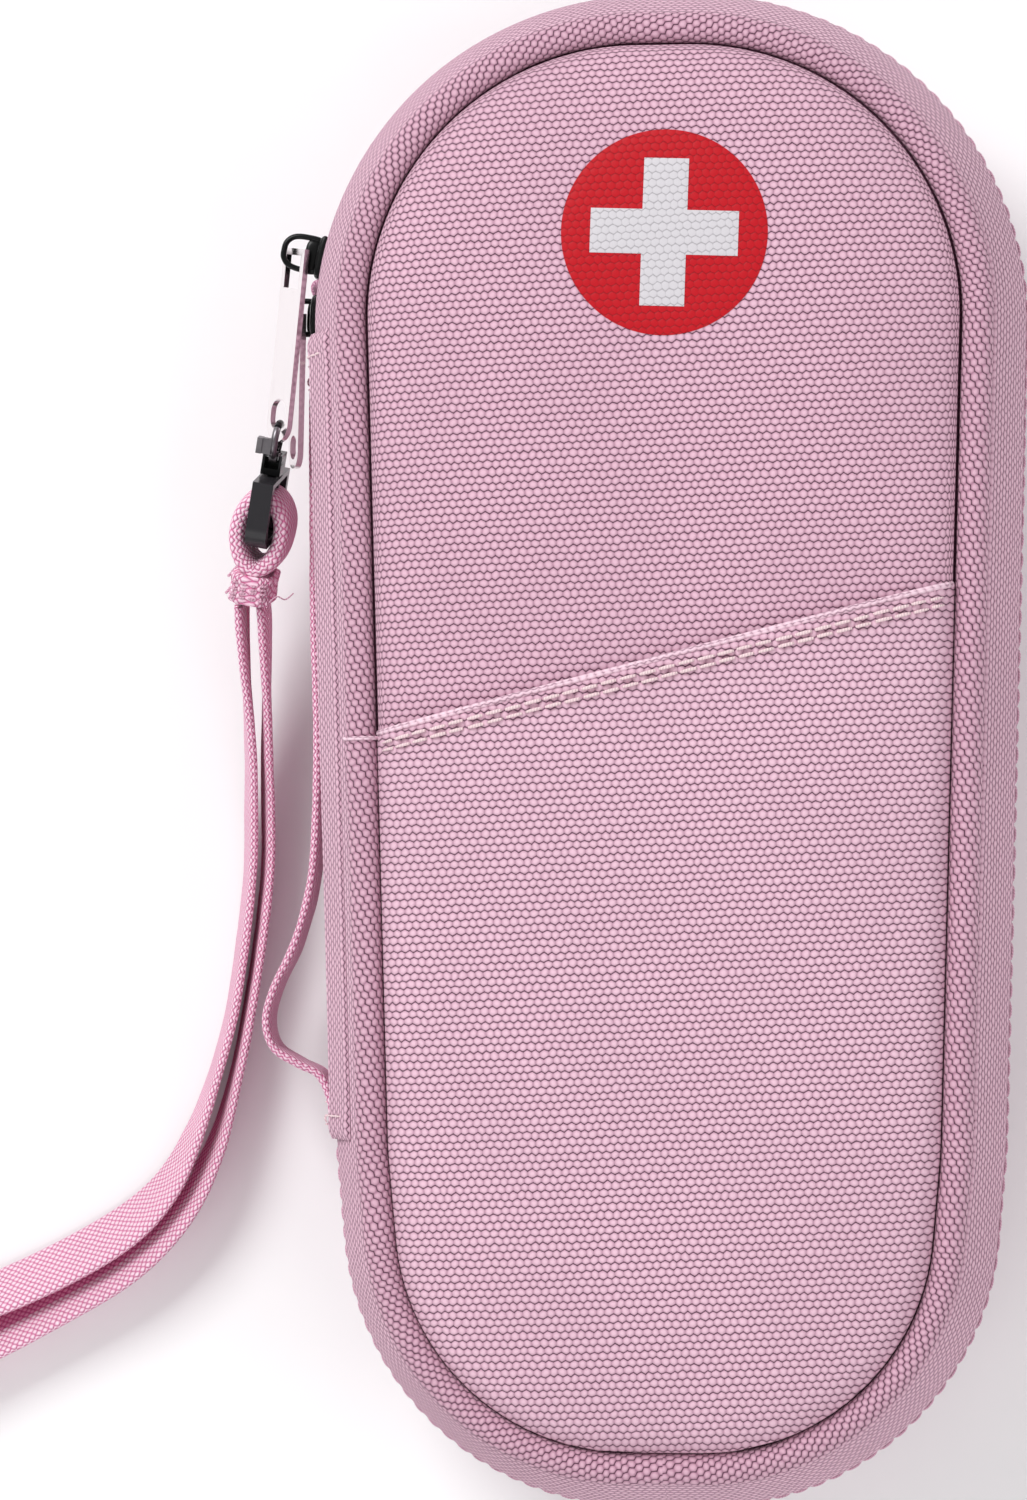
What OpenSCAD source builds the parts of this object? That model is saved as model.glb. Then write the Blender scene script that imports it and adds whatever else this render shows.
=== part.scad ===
// Zip-around first aid kit lying on its back: padded fabric case, webbing handle,
// two-slider zip, trigger clasp and wrist strap. Millimetres, +Z up, origin at the
// middle of the flat back face, +Y along the long axis.

/* [Case] */
// Overall length of the case
case_l = 224; // [190:1:270]
// Overall width of the case at its wide end
case_w = 105.6; // [92:0.2:128]
// Overall depth, back face to the crown of the front
case_d = 58; // [50:0.5:68]
// Corner radius at the wide (top) end
top_r = 49; // [40:0.5:52]
// Corner radius at the narrow (bottom) end
bot_r = 43; // [34:0.5:46]
// How much each side narrows towards the bottom end
side_taper = 4.3; // [0:0.1:8]
// How far each side wall leans in, zip to front and zip to back
lean = 5; // [3:0.1:7]

/* [Walls] */
// Thickness of the fabric side wall
fabric_t = 1.2; // [0.8:0.1:1.6]
// Thickness of the foam board
foam_t = 2; // [1:0.1:3]
// Thickness of the inner lining
lining_t = 0.6; // [0.4:0.1:1]
// Thickness of the back panel
back_t = 2.6; // [1.6:0.1:3.4]
// Radius of the fabric-covered piping
piping_r = 2.3; // [1.8:0.05:2.8]

/* [Zip] */
// Height of the zip's centre line above the back face
zip_z = 28; // [25:0.5:32]
// Gap between the two rows of teeth
chain_gap = 1.2; // [0.9:0.1:2]
// Height of one row of teeth
chain_h = 1.3; // [1:0.1:2]
// Depth of a row of teeth, outside to inside
chain_t = 2.8; // [2:0.1:3.4]
// Length of a slider
slider_l = 6.6; // [6:0.1:7.4]
// Angle of slider A round the corner
slider_a_deg = 167; // [160:1:168]
// Angle of slider B round the corner
slider_b_deg = 177; // [176.5:0.5:177]

/* [Hardware] */
// Length of pull tab A from its pivot to its hole
tab_a_l = 26; // [18:0.5:30]
// Length of pull tab B from its pivot to its hole
tab_b_l = 20.4; // [15:0.2:21]
// Width of a pull tab
tab_w = 5.6; // [5:0.1:6.4]
// Thickness of a pull tab
tab_t = 0.9; // [0.6:0.1:1.2]
// Radius of the clasp's hook, to the middle of its wire
hook_r = 2.6; // [2.3:0.1:3.2]
// Diameter of the hook's wire
wire_d = 1.1; // [0.9:0.05:1.2]

/* [Webbing] */
// Width of the webbing
web_w = 10; // [8:0.5:12]
// Thickness of the webbing
web_t = 1.5; // [1:0.1:2]
// Height of the handle webbing's middle
handle_z = 16; // [13:0.5:17]

/* [Front] */
// Diameter of the printed disc
disc_d = 30; // [20:1:38]
// Distance of the disc's middle from the top end
disc_in = 37.7; // [28:1:60]
// Height of the slip pocket's edge at the left side
pocket_y = -0.4; // [-20:0.2:20]
// Angle of the slip pocket's edge
pocket_deg = 14.4; // [0:1:25]
// Number of elastic loops inside
loops = 4; // [2:1:5]

/* [Hidden] */
clear = 0.3;      // between pieces that move
seat = 0.1;       // between sewn layers
pink = [0.83, 0.66, 0.74];
pale = [0.9, 0.78, 0.84];
hot = [0.85, 0.45, 0.62];
dark = [0.12, 0.12, 0.13];
metal = [0.75, 0.74, 0.76];

// ---- outline of the case: three pairs of circles in one convex loop ----
mid_r = top_r - 3;
mid_y = -case_l / 2 + bot_r + 12;
top_c = [case_w / 2 - top_r, case_l / 2 - top_r];
mid_c = [case_w / 2 - side_taper * 0.75 - mid_r, mid_y];
bot_c = [case_w / 2 - side_taper - bot_r, -case_l / 2 + bot_r];
function tangent(c1, r1, c2, r2) =
    let(dx = c1.x - c2.x, dy = c1.y - c2.y)
    atan2(dy, dx) - acos((r2 - r1) / norm([dx, dy]));
a_top = tangent(top_c, top_r, mid_c, mid_r);
a_bot = tangent(mid_c, mid_r, bot_c, bot_r);
n_bot = 8;
n_mid = 2;
n_top = 10;
function arc_pts(c, r, a0, a1, n) =
    [for (i = [0:n]) let(a = a0 + (a1 - a0) * i / n) [c.x + r * cos(a), c.y + r * sin(a)]];
function half_ring(d) = concat(arc_pts(bot_c, bot_r - d, -90, a_bot, n_bot),
    arc_pts(mid_c, mid_r - d, a_bot, a_top, n_mid),
    arc_pts(top_c, top_r - d, a_top, 90, n_top));
function ring(d) = let(h = half_ring(d), n = len(h))
    concat(h, [for (i = [0:n - 1]) [-h[n - 1 - i].x, h[n - 1 - i].y]]);
NR = len(ring(0));
HALF = NR / 2;
i_top = HALF + n_top;      // left side, where the top corner ends
i_spine = i_top + 1;       // left side, lower end of the straight spine

// signed area of a profile of [inset, height] pairs, outwards positive
function turn(p) = let(n = len(p)) [for (i = [0:n - 1]) let(j = (i + 1) % n)
    (-p[i][0]) * p[j][1] - (-p[j][0]) * p[i][1]] * [for (i = [0:n - 1]) 1];
function ccw(p) = turn(p) > 0 ? p : [for (i = [len(p) - 1:-1:0]) p[i]];

// closed profile carried right round the outline
module sweep_ring(profile) {
    p = ccw(profile);
    m = len(p);
    rs = [for (q = p) ring(q[0])];
    pts = [for (i = [0:NR - 1]) for (j = [0:m - 1]) [rs[j][i].x, rs[j][i].y, p[j][1]]];
    polyhedron(pts, [for (i = [0:NR - 1]) for (j = [0:m - 1])
        let(k = (i + 1) % NR, l = (j + 1) % m)
        [i * m + j, i * m + l, k * m + l, k * m + j]], convexity = 8);
}

// closed profile carried along part of the outline
module sweep_arc(profile, i0, n) {
    p = ccw(profile);
    m = len(p);
    rs = [for (q = p) ring(q[0])];
    pts = [for (s = [0:n]) for (j = [0:m - 1]) let(i = (i0 + s) % NR)
        [rs[j][i].x, rs[j][i].y, p[j][1]]];
    polyhedron(pts, concat([[for (j = [m - 1:-1:0]) j]], [[for (j = [0:m - 1]) n * m + j]],
        [for (s = [0:n - 1]) for (j = [0:m - 1]) let(l = (j + 1) % m)
            [s * m + j, s * m + l, (s + 1) * m + l, (s + 1) * m + j]]), convexity = 8);
}

// stack of outlines, closed by a flat face at each end
module loft(stack) {
    m = len(stack);
    pts = [for (q = stack) for (c = ring(q[0])) [c.x, c.y, q[1]]];
    polyhedron(pts, concat([[for (i = [0:NR - 1]) i]], [[for (i = [NR - 1:-1:0]) (m - 1) * NR + i]],
        [for (j = [0:m - 2]) for (i = [0:NR - 1]) let(k = (i + 1) % NR)
            [j * NR + i, (j + 1) * NR + i, (j + 1) * NR + k, j * NR + k]]), convexity = 8);
}

// ---- heights ----
pipe_in = lean + piping_r - 0.4;             // inset of the piping's centre
back_pipe_z = piping_r + 0.5;
front_pipe_z = case_d - 8;
chain_lo = zip_z - chain_gap / 2 - chain_h;  // underside of the base teeth
chain_hi = zip_z + chain_gap / 2 + chain_h;  // upper side of the lid teeth
wall_lo = chain_lo - seat;                   // top edge of the base wall
wall_hi = chain_hi + seat;                   // lower edge of the lid wall
knee = 6;                                    // straight part of each wall beside the zip
low_end = back_pipe_z + piping_r - 0.1;      // where the base wall meets its piping
high_end = front_pipe_z - piping_r + 0.1;
tape_d = fabric_t + seat;                    // inset of the zip tape
tape_t = 0.8;
foam_d = tape_d + tape_t + seat + 0.1;       // inset of the foam beside the tape
rim_lo = chain_lo - 1.8;                     // top of the base foam and lining
rim_hi = chain_hi + 1.3;                     // lower edge of the lid foam and lining
panel_in = pipe_in + piping_r + seat;        // inset of the panels inside the piping
chain_d = -0.2;                              // inset of the teeth's outer side
hinge_x = -case_w / 2 - 1;
hinge_z = zip_z + 5;

// crown of the front panel, lifted by h
crown_z = case_d - 1;
function crown(h) = [[panel_in, front_pipe_z + 1.4 + h], [panel_in + 1.6, crown_z - 3.3 + h],
    [panel_in + 6.5, crown_z - 1.5 + h], [panel_in + 16, crown_z - 0.4 + h],
    [panel_in + 28, crown_z + h]];
module crowned(h, under) {
    loft(concat([[panel_in, under]], crown(h)));
}
// skin of the crown between two heights above the panel, cut by its children
module on_crown(h0, h1) {
    intersection() {
        difference() {
            crowned(h1, front_pipe_z + 1);
            crowned(h0, front_pipe_z - 1);
        }
        children();
    }
}

module back_panel() {
    color(pink) loft([[panel_in, 0], [panel_in, back_t]]);
}

module pipe(z) {
    sweep_ring([for (i = [0:7]) [pipe_in + piping_r * cos(i * 45 + 22.5),
        z + piping_r * sin(i * 45 + 22.5)]]);
}
module back_piping() {
    color(pink) pipe(back_pipe_z);
}
module front_piping() {
    color(pink) pipe(front_pipe_z);
}

module base_gusset() {
    color(pink) sweep_ring([[lean, low_end], [0, wall_lo - knee], [0, wall_lo],
        [fabric_t, wall_lo], [fabric_t, wall_lo - knee], [lean + fabric_t, low_end]]);
}
module lid_gusset() {
    color(pink) sweep_ring([[0, wall_hi], [0, wall_hi + knee], [lean, high_end],
        [lean + fabric_t, high_end], [fabric_t, wall_hi + knee], [fabric_t, wall_hi]]);
}

foam_floor = back_t + seat;
lin_floor = foam_floor + foam_t + seat;
module base_foam() {
    color([0.3, 0.3, 0.32]) loft([[panel_in + seat, foam_floor], [panel_in + seat, low_end + 0.2],
        [lean + fabric_t + seat, low_end + 0.3], [foam_d, wall_lo - knee - 1.5], [foam_d, rim_lo],
        [foam_d + foam_t, rim_lo], [panel_in + seat, foam_floor + foam_t]]);
}
module base_lining() {
    d = foam_d + foam_t + seat;
    color(pale) loft([[panel_in + seat + 0.2, lin_floor], [d, rim_lo], [d + lining_t, rim_lo],
        [panel_in + seat + 0.3 + lining_t, lin_floor + lining_t]]);
}

foam_ceil = front_pipe_z + 0.5;
lin_ceil = foam_ceil - foam_t - seat;
module lid_foam() {
    color([0.3, 0.3, 0.32]) loft([[panel_in + seat, foam_ceil - foam_t], [foam_d + foam_t, rim_hi],
        [foam_d, rim_hi], [foam_d, wall_hi + knee + 1.5], [lean + fabric_t + seat, high_end - 0.3],
        [panel_in + seat, high_end - 0.2], [panel_in + seat, foam_ceil]]);
}
module lid_lining() {
    d = foam_d + foam_t + seat;
    color(pale) loft([[panel_in + seat + 0.3 + lining_t, lin_ceil - lining_t], [d + lining_t, rim_hi],
        [d, rim_hi], [panel_in + seat + 0.2, lin_ceil]]);
}

// the zip runs from the lower end of the spine round the bottom, right side and top
n_zip = NR - 1;
n_lid = NR - 1 - 3;        // the lid's half stops short of the parked sliders
module tape(z0, z1, n) {
    sweep_arc([[tape_d, z0], [tape_d, z1], [tape_d + tape_t, z1], [tape_d + tape_t, z0]],
        i_spine, n);
}
module teeth(z0, z1, n) {
    sweep_arc([[chain_d, z0], [chain_d, z1], [chain_d + chain_t, z1], [chain_d + chain_t, z0]],
        i_spine, n);
}
module base_zip_tape() {
    color(dark) tape(chain_lo - 6, chain_lo, n_zip);
}
module base_zip_teeth() {
    color(dark) teeth(chain_lo, chain_lo + chain_h, n_zip);
}
module lid_zip_tape() {
    color(dark) tape(chain_hi, chain_hi + 6, n_lid);
}
module lid_zip_teeth() {
    color(dark) teeth(chain_hi - chain_h, chain_hi, n_lid);
}

// ---- spine: one fabric panel in two leaves that meet at the hinge line ----
leaf_t = 0.7;
leaf_gap = 0.35;           // leaves stand off the walls, which turn past them
leaf_d = -leaf_gap - leaf_t;
leaf_lo = low_end + 3;
function wall_in(z) = z < wall_lo - knee ? lean * (wall_lo - knee - z) / (wall_lo - knee - low_end)
    : z > wall_hi + knee ? lean * (z - wall_hi - knee) / (high_end - wall_hi - knee) : 0;
// profile of [inset, height] pairs run along the straight spine
module along_spine(profile) {
    p = ring(0)[i_top];
    v = ring(0)[i_spine] - p;
    translate([p.x, p.y, 0]) rotate([0, 0, atan2(v.y, v.x)]) rotate([90, 0, 90])
        linear_extrude(norm(v)) polygon(profile);
}
module spine_leaf_base() {
    a = wall_in(leaf_lo) + leaf_d;
    color(pink) along_spine([[a, leaf_lo], [leaf_d, wall_lo - knee], [leaf_d, hinge_z - 0.2],
        [-leaf_gap, hinge_z - 0.2], [-leaf_gap, wall_lo - knee], [a + leaf_t, leaf_lo]]);
}
leaf_hi = high_end - 3;
module spine_leaf_lid() {
    a = wall_in(leaf_hi) + leaf_d;
    color(pink) along_spine([[leaf_d, hinge_z + 0.2], [leaf_d, wall_hi + knee], [a, leaf_hi],
        [a + leaf_t, leaf_hi], [-leaf_gap, wall_hi + knee], [-leaf_gap, hinge_z + 0.2]]);
}

// flat ribbon standing on edge: a rectangle w high and t thick along a list of points
function dir2(p, i) = let(n = len(p), a = p[max(0, i - 1)], b = p[min(n - 1, i + 1)],
    v = [b.x - a.x, b.y - a.y]) v / norm(v);
module ribbon(p, w, t) {
    n = len(p);
    pts = [for (i = [0:n - 1]) let(d = dir2(p, i), nx = [d.y, -d.x] * t / 2)
        each [[p[i].x + nx.x, p[i].y + nx.y, p[i].z - w / 2], [p[i].x + nx.x, p[i].y + nx.y, p[i].z + w / 2],
              [p[i].x - nx.x, p[i].y - nx.y, p[i].z + w / 2], [p[i].x - nx.x, p[i].y - nx.y, p[i].z - w / 2]]];
    polyhedron(pts, concat([[0, 1, 2, 3]], [[4 * n - 1, 4 * n - 2, 4 * n - 3, 4 * n - 4]],
        [for (i = [0:n - 2]) for (j = [0:3]) let(k = (j + 1) % 4)
            [4 * i + j, 4 * i + 4 + j, 4 * i + 4 + k, 4 * i + k]]), convexity = 6);
}
// smooth curve through hand-placed points (Catmull-Rom), s steps a span
function spline(p, s) = let(n = len(p)) concat([for (i = [0:n - 2]) for (k = [0:s - 1])
    let(t = k / s, a = p[max(0, i - 1)], b = p[i], c = p[i + 1], d = p[min(n - 1, i + 2)])
    0.5 * (2 * b + (c - a) * t + (2 * a - 5 * b + 4 * c - d) * t * t
        + (3 * b - a - 3 * c + d) * t * t * t)], [p[n - 1]]);

// ---- handle: webbing sewn to the spine at both ends, with slack towards the bottom ----
hx = -case_w / 2 + leaf_d - clear - web_t / 2;    // webbing's middle beside the spine
tx = side_taper * 0.75;                           // the spine drifts inwards by this
handle_pts = [[hx, 61, 0], [hx - 0.3, 50, 0], [hx - 0.2, 36, 0], [hx - 0.1, 20, 0],
    [hx + 0.4, 4, 0], [hx + 0.2, -10, 0], [hx - 0.6, -20, 0], [hx - 3, -29, 0],
    [hx - 6.2, -36, 0], [hx - 7.4, -41, 0], [hx - 6.2, -45, 0], [hx - 2.6, -47.4, 0],
    [hx + 0.8, -49.2, 0], [hx + tx - 0.7, -53, 0], [hx + tx - 0.3, -57, 0]];
module handle() {
    color(pale) translate([0, 0, handle_z]) ribbon(spline(handle_pts, 3), web_w, web_t);
}
// box stitch at each end, sewn into the webbing's outer face
module handle_stitching() {
    color("white") for (q = [[hx - web_t / 2, 57, 0], [hx + tx - 0.5 - web_t / 2, -55, 0]])
        translate([q.x - 0.45, q.y, handle_z]) rotate([0, 90, 0]) linear_extrude(0.4, center = true)
            difference() {
                square([web_w - 2, 3.6], center = true);
                square([web_w - 3, 2.6], center = true);
            }
}

// ---- sliders: two plates joined by a web that runs in the gap between the teeth ----
module at_arc(a) {
    translate([-top_c.x, top_c.y, zip_z]) rotate([0, 0, a]) translate([top_r, 0, 0]) children();
}
plate_o = -chain_d + clear;        // outer plate's inner side, outwards from the wall
plate_t = 1.5;
plate_i = chain_t + chain_d + 0.5; // inner plate's outer side, inwards from the wall
eye = 2.9;                         // radial opening under the bail
bail_t = 0.9;
bail_z_a = 1.6;
bail_z_b = -3.6;
stand_a = 1.6;                     // how far each bail stands off its plate
stand_b = 0.6;
function pin_out(stand) = plate_o + plate_t + stand + eye / 2;
// plate from z0 to z1, bail at height bz, standing off the plate by stand
module slider(z0, z1, bz, stand) {
    e = plate_o + plate_t + stand;
    translate([plate_o, -slider_l / 2, z0]) cube([plate_t, slider_l, z1 - z0]);
    translate([-plate_i - 1.1, -slider_l / 2 + 0.2, -2.4]) cube([1.1, slider_l - 0.4, 4.8]);
    translate([-plate_i - 0.5, 0.6, -0.3]) cube([plate_i + plate_o + 1, 2, 0.6]);
    difference() {
        translate([plate_o + plate_t - 0.2, -2.9, bz - 0.6]) cube([0.2 + stand + eye + bail_t, 5.8, 1.2]);
        translate([e, -1.9, bz - 1]) cube([eye, 3.8, 2]);
    }
}
module slider_a() {
    color(dark) at_arc(slider_a_deg) slider(-3.5, 4, bail_z_a, stand_a);
}
module slider_b() {
    color(dark) at_arc(slider_b_deg) slider(-5, 1.5, bail_z_b, stand_b);
}

// ---- pull tabs: flat, rounded, a window at the bail and a slot at the far end ----
module slot2(l, w) {
    translate([-l / 2 + w / 2, 0]) circle(d = w, $fn = 32);
    translate([l / 2 - w / 2, 0]) circle(d = w, $fn = 32);
    square([l - w, w], center = true);
}
module tab(l, w, end_slot) {
    translate([0, 0, -tab_t / 2]) linear_extrude(tab_t) difference() {
        union() {
            translate([-0.5, -w / 2]) square([l + 0.5, w]);
            translate([l, 0]) circle(d = w, $fn = 48);
        }
        translate([0.5, -w / 2 + 0.9]) square([5, w - 1.8]);
        translate([l - end_slot / 2 + 1.1, 0]) slot2(end_slot, w - 1.7);
    }
}
function pin_at(a, stand, bz) = [-top_c.x + (top_r + pin_out(stand)) * cos(a),
    top_c.y + (top_r + pin_out(stand)) * sin(a), zip_z + bz];
pin_a = pin_at(slider_a_deg, stand_a, bail_z_a);
pin_b = pin_at(slider_b_deg, stand_b, bail_z_b);
tab_a_az = -96.5;
tab_a_dip = 6;
tab_b_az = -91.8;
tab_b_dip = 4;
module at_tab_a() {
    translate(pin_a) rotate([0, 0, tab_a_az]) rotate([0, tab_a_dip, 0]) children();
}
module pull_tab_a() {
    color(metal) at_tab_a() rotate([48, 0, 0]) tab(tab_a_l, tab_w, 4.8);
}
module pull_tab_b() {
    color(metal) translate(pin_b) rotate([0, 0, tab_b_az]) rotate([0, tab_b_dip, 0])
        rotate([66, 0, 0]) tab(tab_b_l, tab_w - 0.6, 3.6);
}

// ---- clasp: x runs from the tab's slot to the strap ----
clasp_az = -101;
clasp_dip = 15;
clasp_o = pin_a + tab_a_l * [cos(tab_a_az) * cos(tab_a_dip), sin(tab_a_az) * cos(tab_a_dip), -sin(tab_a_dip)];
module at_clasp() {
    translate(clasp_o) rotate([0, 0, clasp_az]) rotate([0, clasp_dip, 0]) children();
}
// part of a ring in the upright plane, from angle a0 to a1 (0 = towards the strap, 90 = up)
module hoop(a0, a1) {
    translate([hook_r, 0, 0]) rotate([90, 0, 0]) rotate([0, 0, a0])
        rotate_extrude(angle = a1 - a0, $fn = 48) translate([hook_r, 0]) circle(d = wire_d, $fn = 20);
}
body_x = 2 * hook_r - 0.7;
body_l = 3.2;
knuckle = [hook_r + hook_r * cos(20), 0, hook_r * sin(20)];
module clasp_hook() {
    color(dark) at_clasp() {
        hoop(151, 335);
        difference() {
            translate([body_x, -1.5, -2.2]) cube([body_l, 3, 4.2]);
            translate([body_x - 0.1, -1.1, -0.3]) cube([2.3, 2.2, 3]);
        }
        translate([body_x + body_l - 0.2, 0, 0]) rotate([0, 90, 0]) cylinder(r = 0.7, h = 2.1, $fn = 24);
        translate([body_x + body_l + 1.4, 0, 0]) rotate([0, 90, 0]) cylinder(r = 1.4, h = 0.7, $fn = 24);
    }
}
module clasp_pin() {
    color(metal) at_clasp() translate(knuckle) rotate([90, 0, 0])
        cylinder(r = 0.3, h = 2.2, center = true, $fn = 20);
}
module clasp_spring() {
    color(metal) at_clasp() translate([knuckle.x, 0.84, knuckle.z]) rotate([90, 0, 0])
        rotate_extrude($fn = 24) translate([0.58, 0]) circle(r = 0.15, $fn = 16);
}
module clasp_trigger() {
    color([0.45, 0.45, 0.47]) at_clasp() {
        difference() {
            union() {
                hoop(24, 141);
                translate(knuckle) rotate([90, 0, 0]) cylinder(r = 0.9, h = 1.1, center = true, $fn = 24);
            }
            translate(knuckle) rotate([90, 0, 0]) cylinder(r = 0.55, h = 2, center = true, $fn = 24);
        }
        translate([hook_r - 0.6, -1.9, hook_r - 0.5]) cube([2.4, 1.6, 1]);
        translate([hook_r - 0.6, -2.5, hook_r - 0.8]) cube([2.4, 0.8, 1.6]);
    }
}

// swivel ring: a D in the upright plane with a collar round the swivel post
ring_x = body_x + body_l + clear;
ring_len = 10.6;
ring_h = web_w + 4.4;
ring_bar = 1.6;
collar_l = 0.8;
module d_shape(l, h, r) {
    translate([0, -h / 2]) square([l - r, h]);
    translate([0, -h / 2 + r]) square([l, h - 2 * r]);
    for (s = [-1, 1]) translate([l - r, s * (h / 2 - r)]) circle(r = r, $fn = 40);
}
module clasp_ring() {
    color(dark) at_clasp() translate([ring_x, 0, 0]) difference() {
        rotate([90, 0, 0]) linear_extrude(3.2, center = true) difference() {
            d_shape(ring_len, ring_h, 3.5);
            translate([collar_l, 0]) d_shape(ring_len - collar_l - ring_bar, ring_h - 2 * ring_bar, 2);
        }
        translate([-1, 0, 0]) rotate([0, 90, 0]) cylinder(r = 1, h = 3, $fn = 24);
    }
}

// ---- webbing wrapped through the ring, then bar-tacked ----
wrap_a = ring_x + 3.2;      // where the webbing passes through the ring
wrap_b = ring_x + 14.2;     // where its two sides meet
module strap_wrap() {
    n = 20;
    c = (wrap_a + wrap_b) / 2;
    rl = (wrap_b - wrap_a) / 2;
    rw = 4;
    color(pale) at_clasp() translate([c, 0, 0]) linear_extrude(web_w, center = true) difference() {
        polygon([for (i = [0:n - 1]) [(rl + web_t / 2) * cos(i * 360 / n), (rw + web_t / 2) * sin(i * 360 / n)]]);
        polygon([for (i = [0:n - 1]) [(rl - web_t / 2) * cos(i * 360 / n), (rw - web_t / 2) * sin(i * 360 / n)]]);
    }
}
tack_x = wrap_b + web_t / 2 + 0.1;
tack_l = 4.6;
module strap_bartack() {
    color(hot) at_clasp() translate([tack_x, -3.4, -web_w / 2 - 0.3]) cube([tack_l, 6.8, web_w + 0.6]);
}

// ---- wrist strap: one flat webbing loop, both ends in the bar tack ----
// points of the strap's middle with its lean in degrees; it leans over where it lies on the table
strap_route = [[-66.4, 23.4, 17.6, 0], [-66.6, 14, 14.2, 0], [-66.7, 5, 10.8, 0],
    [-67.1, -8, 7.2, 0], [-67.6, -20, 5.6, 0], [-69.8, -37, 5.15, -5], [-72.4, -49, 5.15, -12],
    [-76, -60, 5.15, -22], [-80.6, -68, 4.9, -31], [-88, -74.5, 4.55, -40], [-101, -81.5, 4.5, -40],
    [-115, -87, 4.65, -36], [-126.5, -90, 5.05, -24], [-133.5, -94, 5.2, -10], [-135, -99.5, 5.2, 0],
    [-130.5, -102.8, 5.2, 10], [-122, -99.6, 5.05, 24], [-111, -93, 4.65, 36],
    [-100, -87, 4.5, 40], [-86.2, -79, 4.6, 38], [-77.4, -70.6, 4.9, 30], [-72.2, -61, 5.15, 22],
    [-68.6, -50, 5.15, 12], [-65.8, -37.6, 5.15, 5], [-63.4, -20, 5.6, 0], [-63, -8, 7.2, 0],
    [-62.9, 5, 10.8, 0], [-62.9, 14, 14.2, 0], [-63.1, 23.4, 17.6, 0]];
module leaning_ribbon(p, w, t) {
    n = len(p);
    pts = [for (i = [0:n - 1]) let(d = dir2(p, i), a = p[i][3], m = [p[i].x, p[i].y, p[i].z],
            u = w / 2 * [d.y * sin(a), -d.x * sin(a), cos(a)],
            v = t / 2 * [d.y * cos(a), -d.x * cos(a), -sin(a)])
        each [m + v - u, m + v + u, m - v + u, m - v - u]];
    polyhedron(pts, concat([[0, 1, 2, 3]], [[4 * n - 1, 4 * n - 2, 4 * n - 3, 4 * n - 4]],
        [for (i = [0:n - 2]) for (j = [0:3]) let(k = (j + 1) % 4)
            [4 * i + j, 4 * i + 4 + j, 4 * i + 4 + k, 4 * i + k]]), convexity = 6);
}
module wrist_strap() {
    color(pale) leaning_ribbon(spline(strap_route, 2), web_w, web_t);
}

// ---- small pieces on the zip ----
module zip_end_tab() {
    a = 171.5;
    color(hot) at_arc(a) translate([0.2, -1.7, -14.2])
        linear_extrude(7.4) union() {
            translate([0, 0]) square([1.1, 3.4]);
            translate([1.8, 1.7]) circle(d = 3.2, $fn = 24);
        }
}
module zip_stop() {
    q = ring(chain_d)[i_spine];
    color(metal) translate([q.x + 0.2, q.y + 0.3, chain_lo]) cube([chain_t + 0.2, 1.8, chain_h]);
}

// ---- inside: elastic loops on a backing strip, mesh pocket in the lid ----
strip_z = lin_floor + lining_t + 0.05;
strip_t = 0.8;
strip_l = 26;
loop_r = 8;
loop_pitch = (case_w - 2 * panel_in - 12) / loops;
module loop_backing() {
    w = loop_pitch * loops + 1;
    color(dark) translate([-w / 2, 10, strip_z]) cube([w, strip_l, strip_t]);
}
module elastic_loops() {
    r = min(loop_r, loop_pitch / 2 - 1);
    color(dark) for (i = [0:loops - 1])
        translate([(i - (loops - 1) / 2) * loop_pitch, 10.5 + strip_l - 1, strip_z + strip_t + 0.05])
            rotate([90, 0, 0]) linear_extrude(strip_l - 1) intersection() {
                difference() {
                    circle(r = r, $fn = 40);
                    circle(r = r - 0.9, $fn = 40);
                }
                translate([-r, 0]) square([2 * r, r]);
            }
}
mesh_top = 34;
mesh_z = lin_ceil - lining_t - 0.9;
mesh_in = panel_in + lining_t + 1.2;
module mesh_sheet(y0, y1, t) {
    linear_extrude(t) intersection() {
        polygon(ring(mesh_in));
        translate([-case_w, y0]) square([2 * case_w, y1 - y0]);
    }
}
module mesh_pocket() {
    color([0.5, 0.5, 0.52]) translate([0, 0, mesh_z]) mesh_sheet(-case_l, mesh_top, 0.6);
}
module mesh_binding() {
    color(hot) translate([0, 0, mesh_z - 0.8]) mesh_sheet(mesh_top - 5, mesh_top, 0.7);
}

// ---- front: crowned panel, slip pocket with a slanted edge, printed symbol ----
module front_panel() {
    color(pink) crowned(0, foam_ceil + seat);
}
module below_edge(y0, y1) {
    translate([-case_w / 2, pocket_y - 0.8, 0]) rotate([0, 0, pocket_deg])
        translate([-10, y0, 30]) cube([case_w * 1.3, y1 - y0, 60]);
}
module pocket_panel() {
    color(pink) on_crown(0, 0.9) below_edge(-case_l, 0);
}
module pocket_hem() {
    color(pale) on_crown(0.9, 1.3) below_edge(-3.4, 0);
}
stitch_pitch = 2.9;
module pocket_stitching() {
    color("white") on_crown(1.3, 1.5)
        translate([-case_w / 2, pocket_y - 0.8, 0]) rotate([0, 0, pocket_deg])
            for (x = [4:stitch_pitch:case_w * 1.05]) translate([x, -2.3, 30]) cube([2, 0.45, 60]);
}
disc_x = 0.65;
disc_y = case_l / 2 - disc_in;
module emblem_disc() {
    color([0.74, 0, 0.07]) on_crown(0, 0.35)
        translate([disc_x, disc_y, 30]) cylinder(d = disc_d, h = 60, $fn = 64);
}
module emblem_cross() {
    color([0.82, 0.81, 0.83]) on_crown(0.35, 0.7) translate([disc_x, disc_y, 60]) rotate([0, 0, -2])
        for (s = [0, 90]) rotate([0, 0, s]) cube([disc_d * 0.72, disc_d * 0.217, 60], center = true);
}

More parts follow.
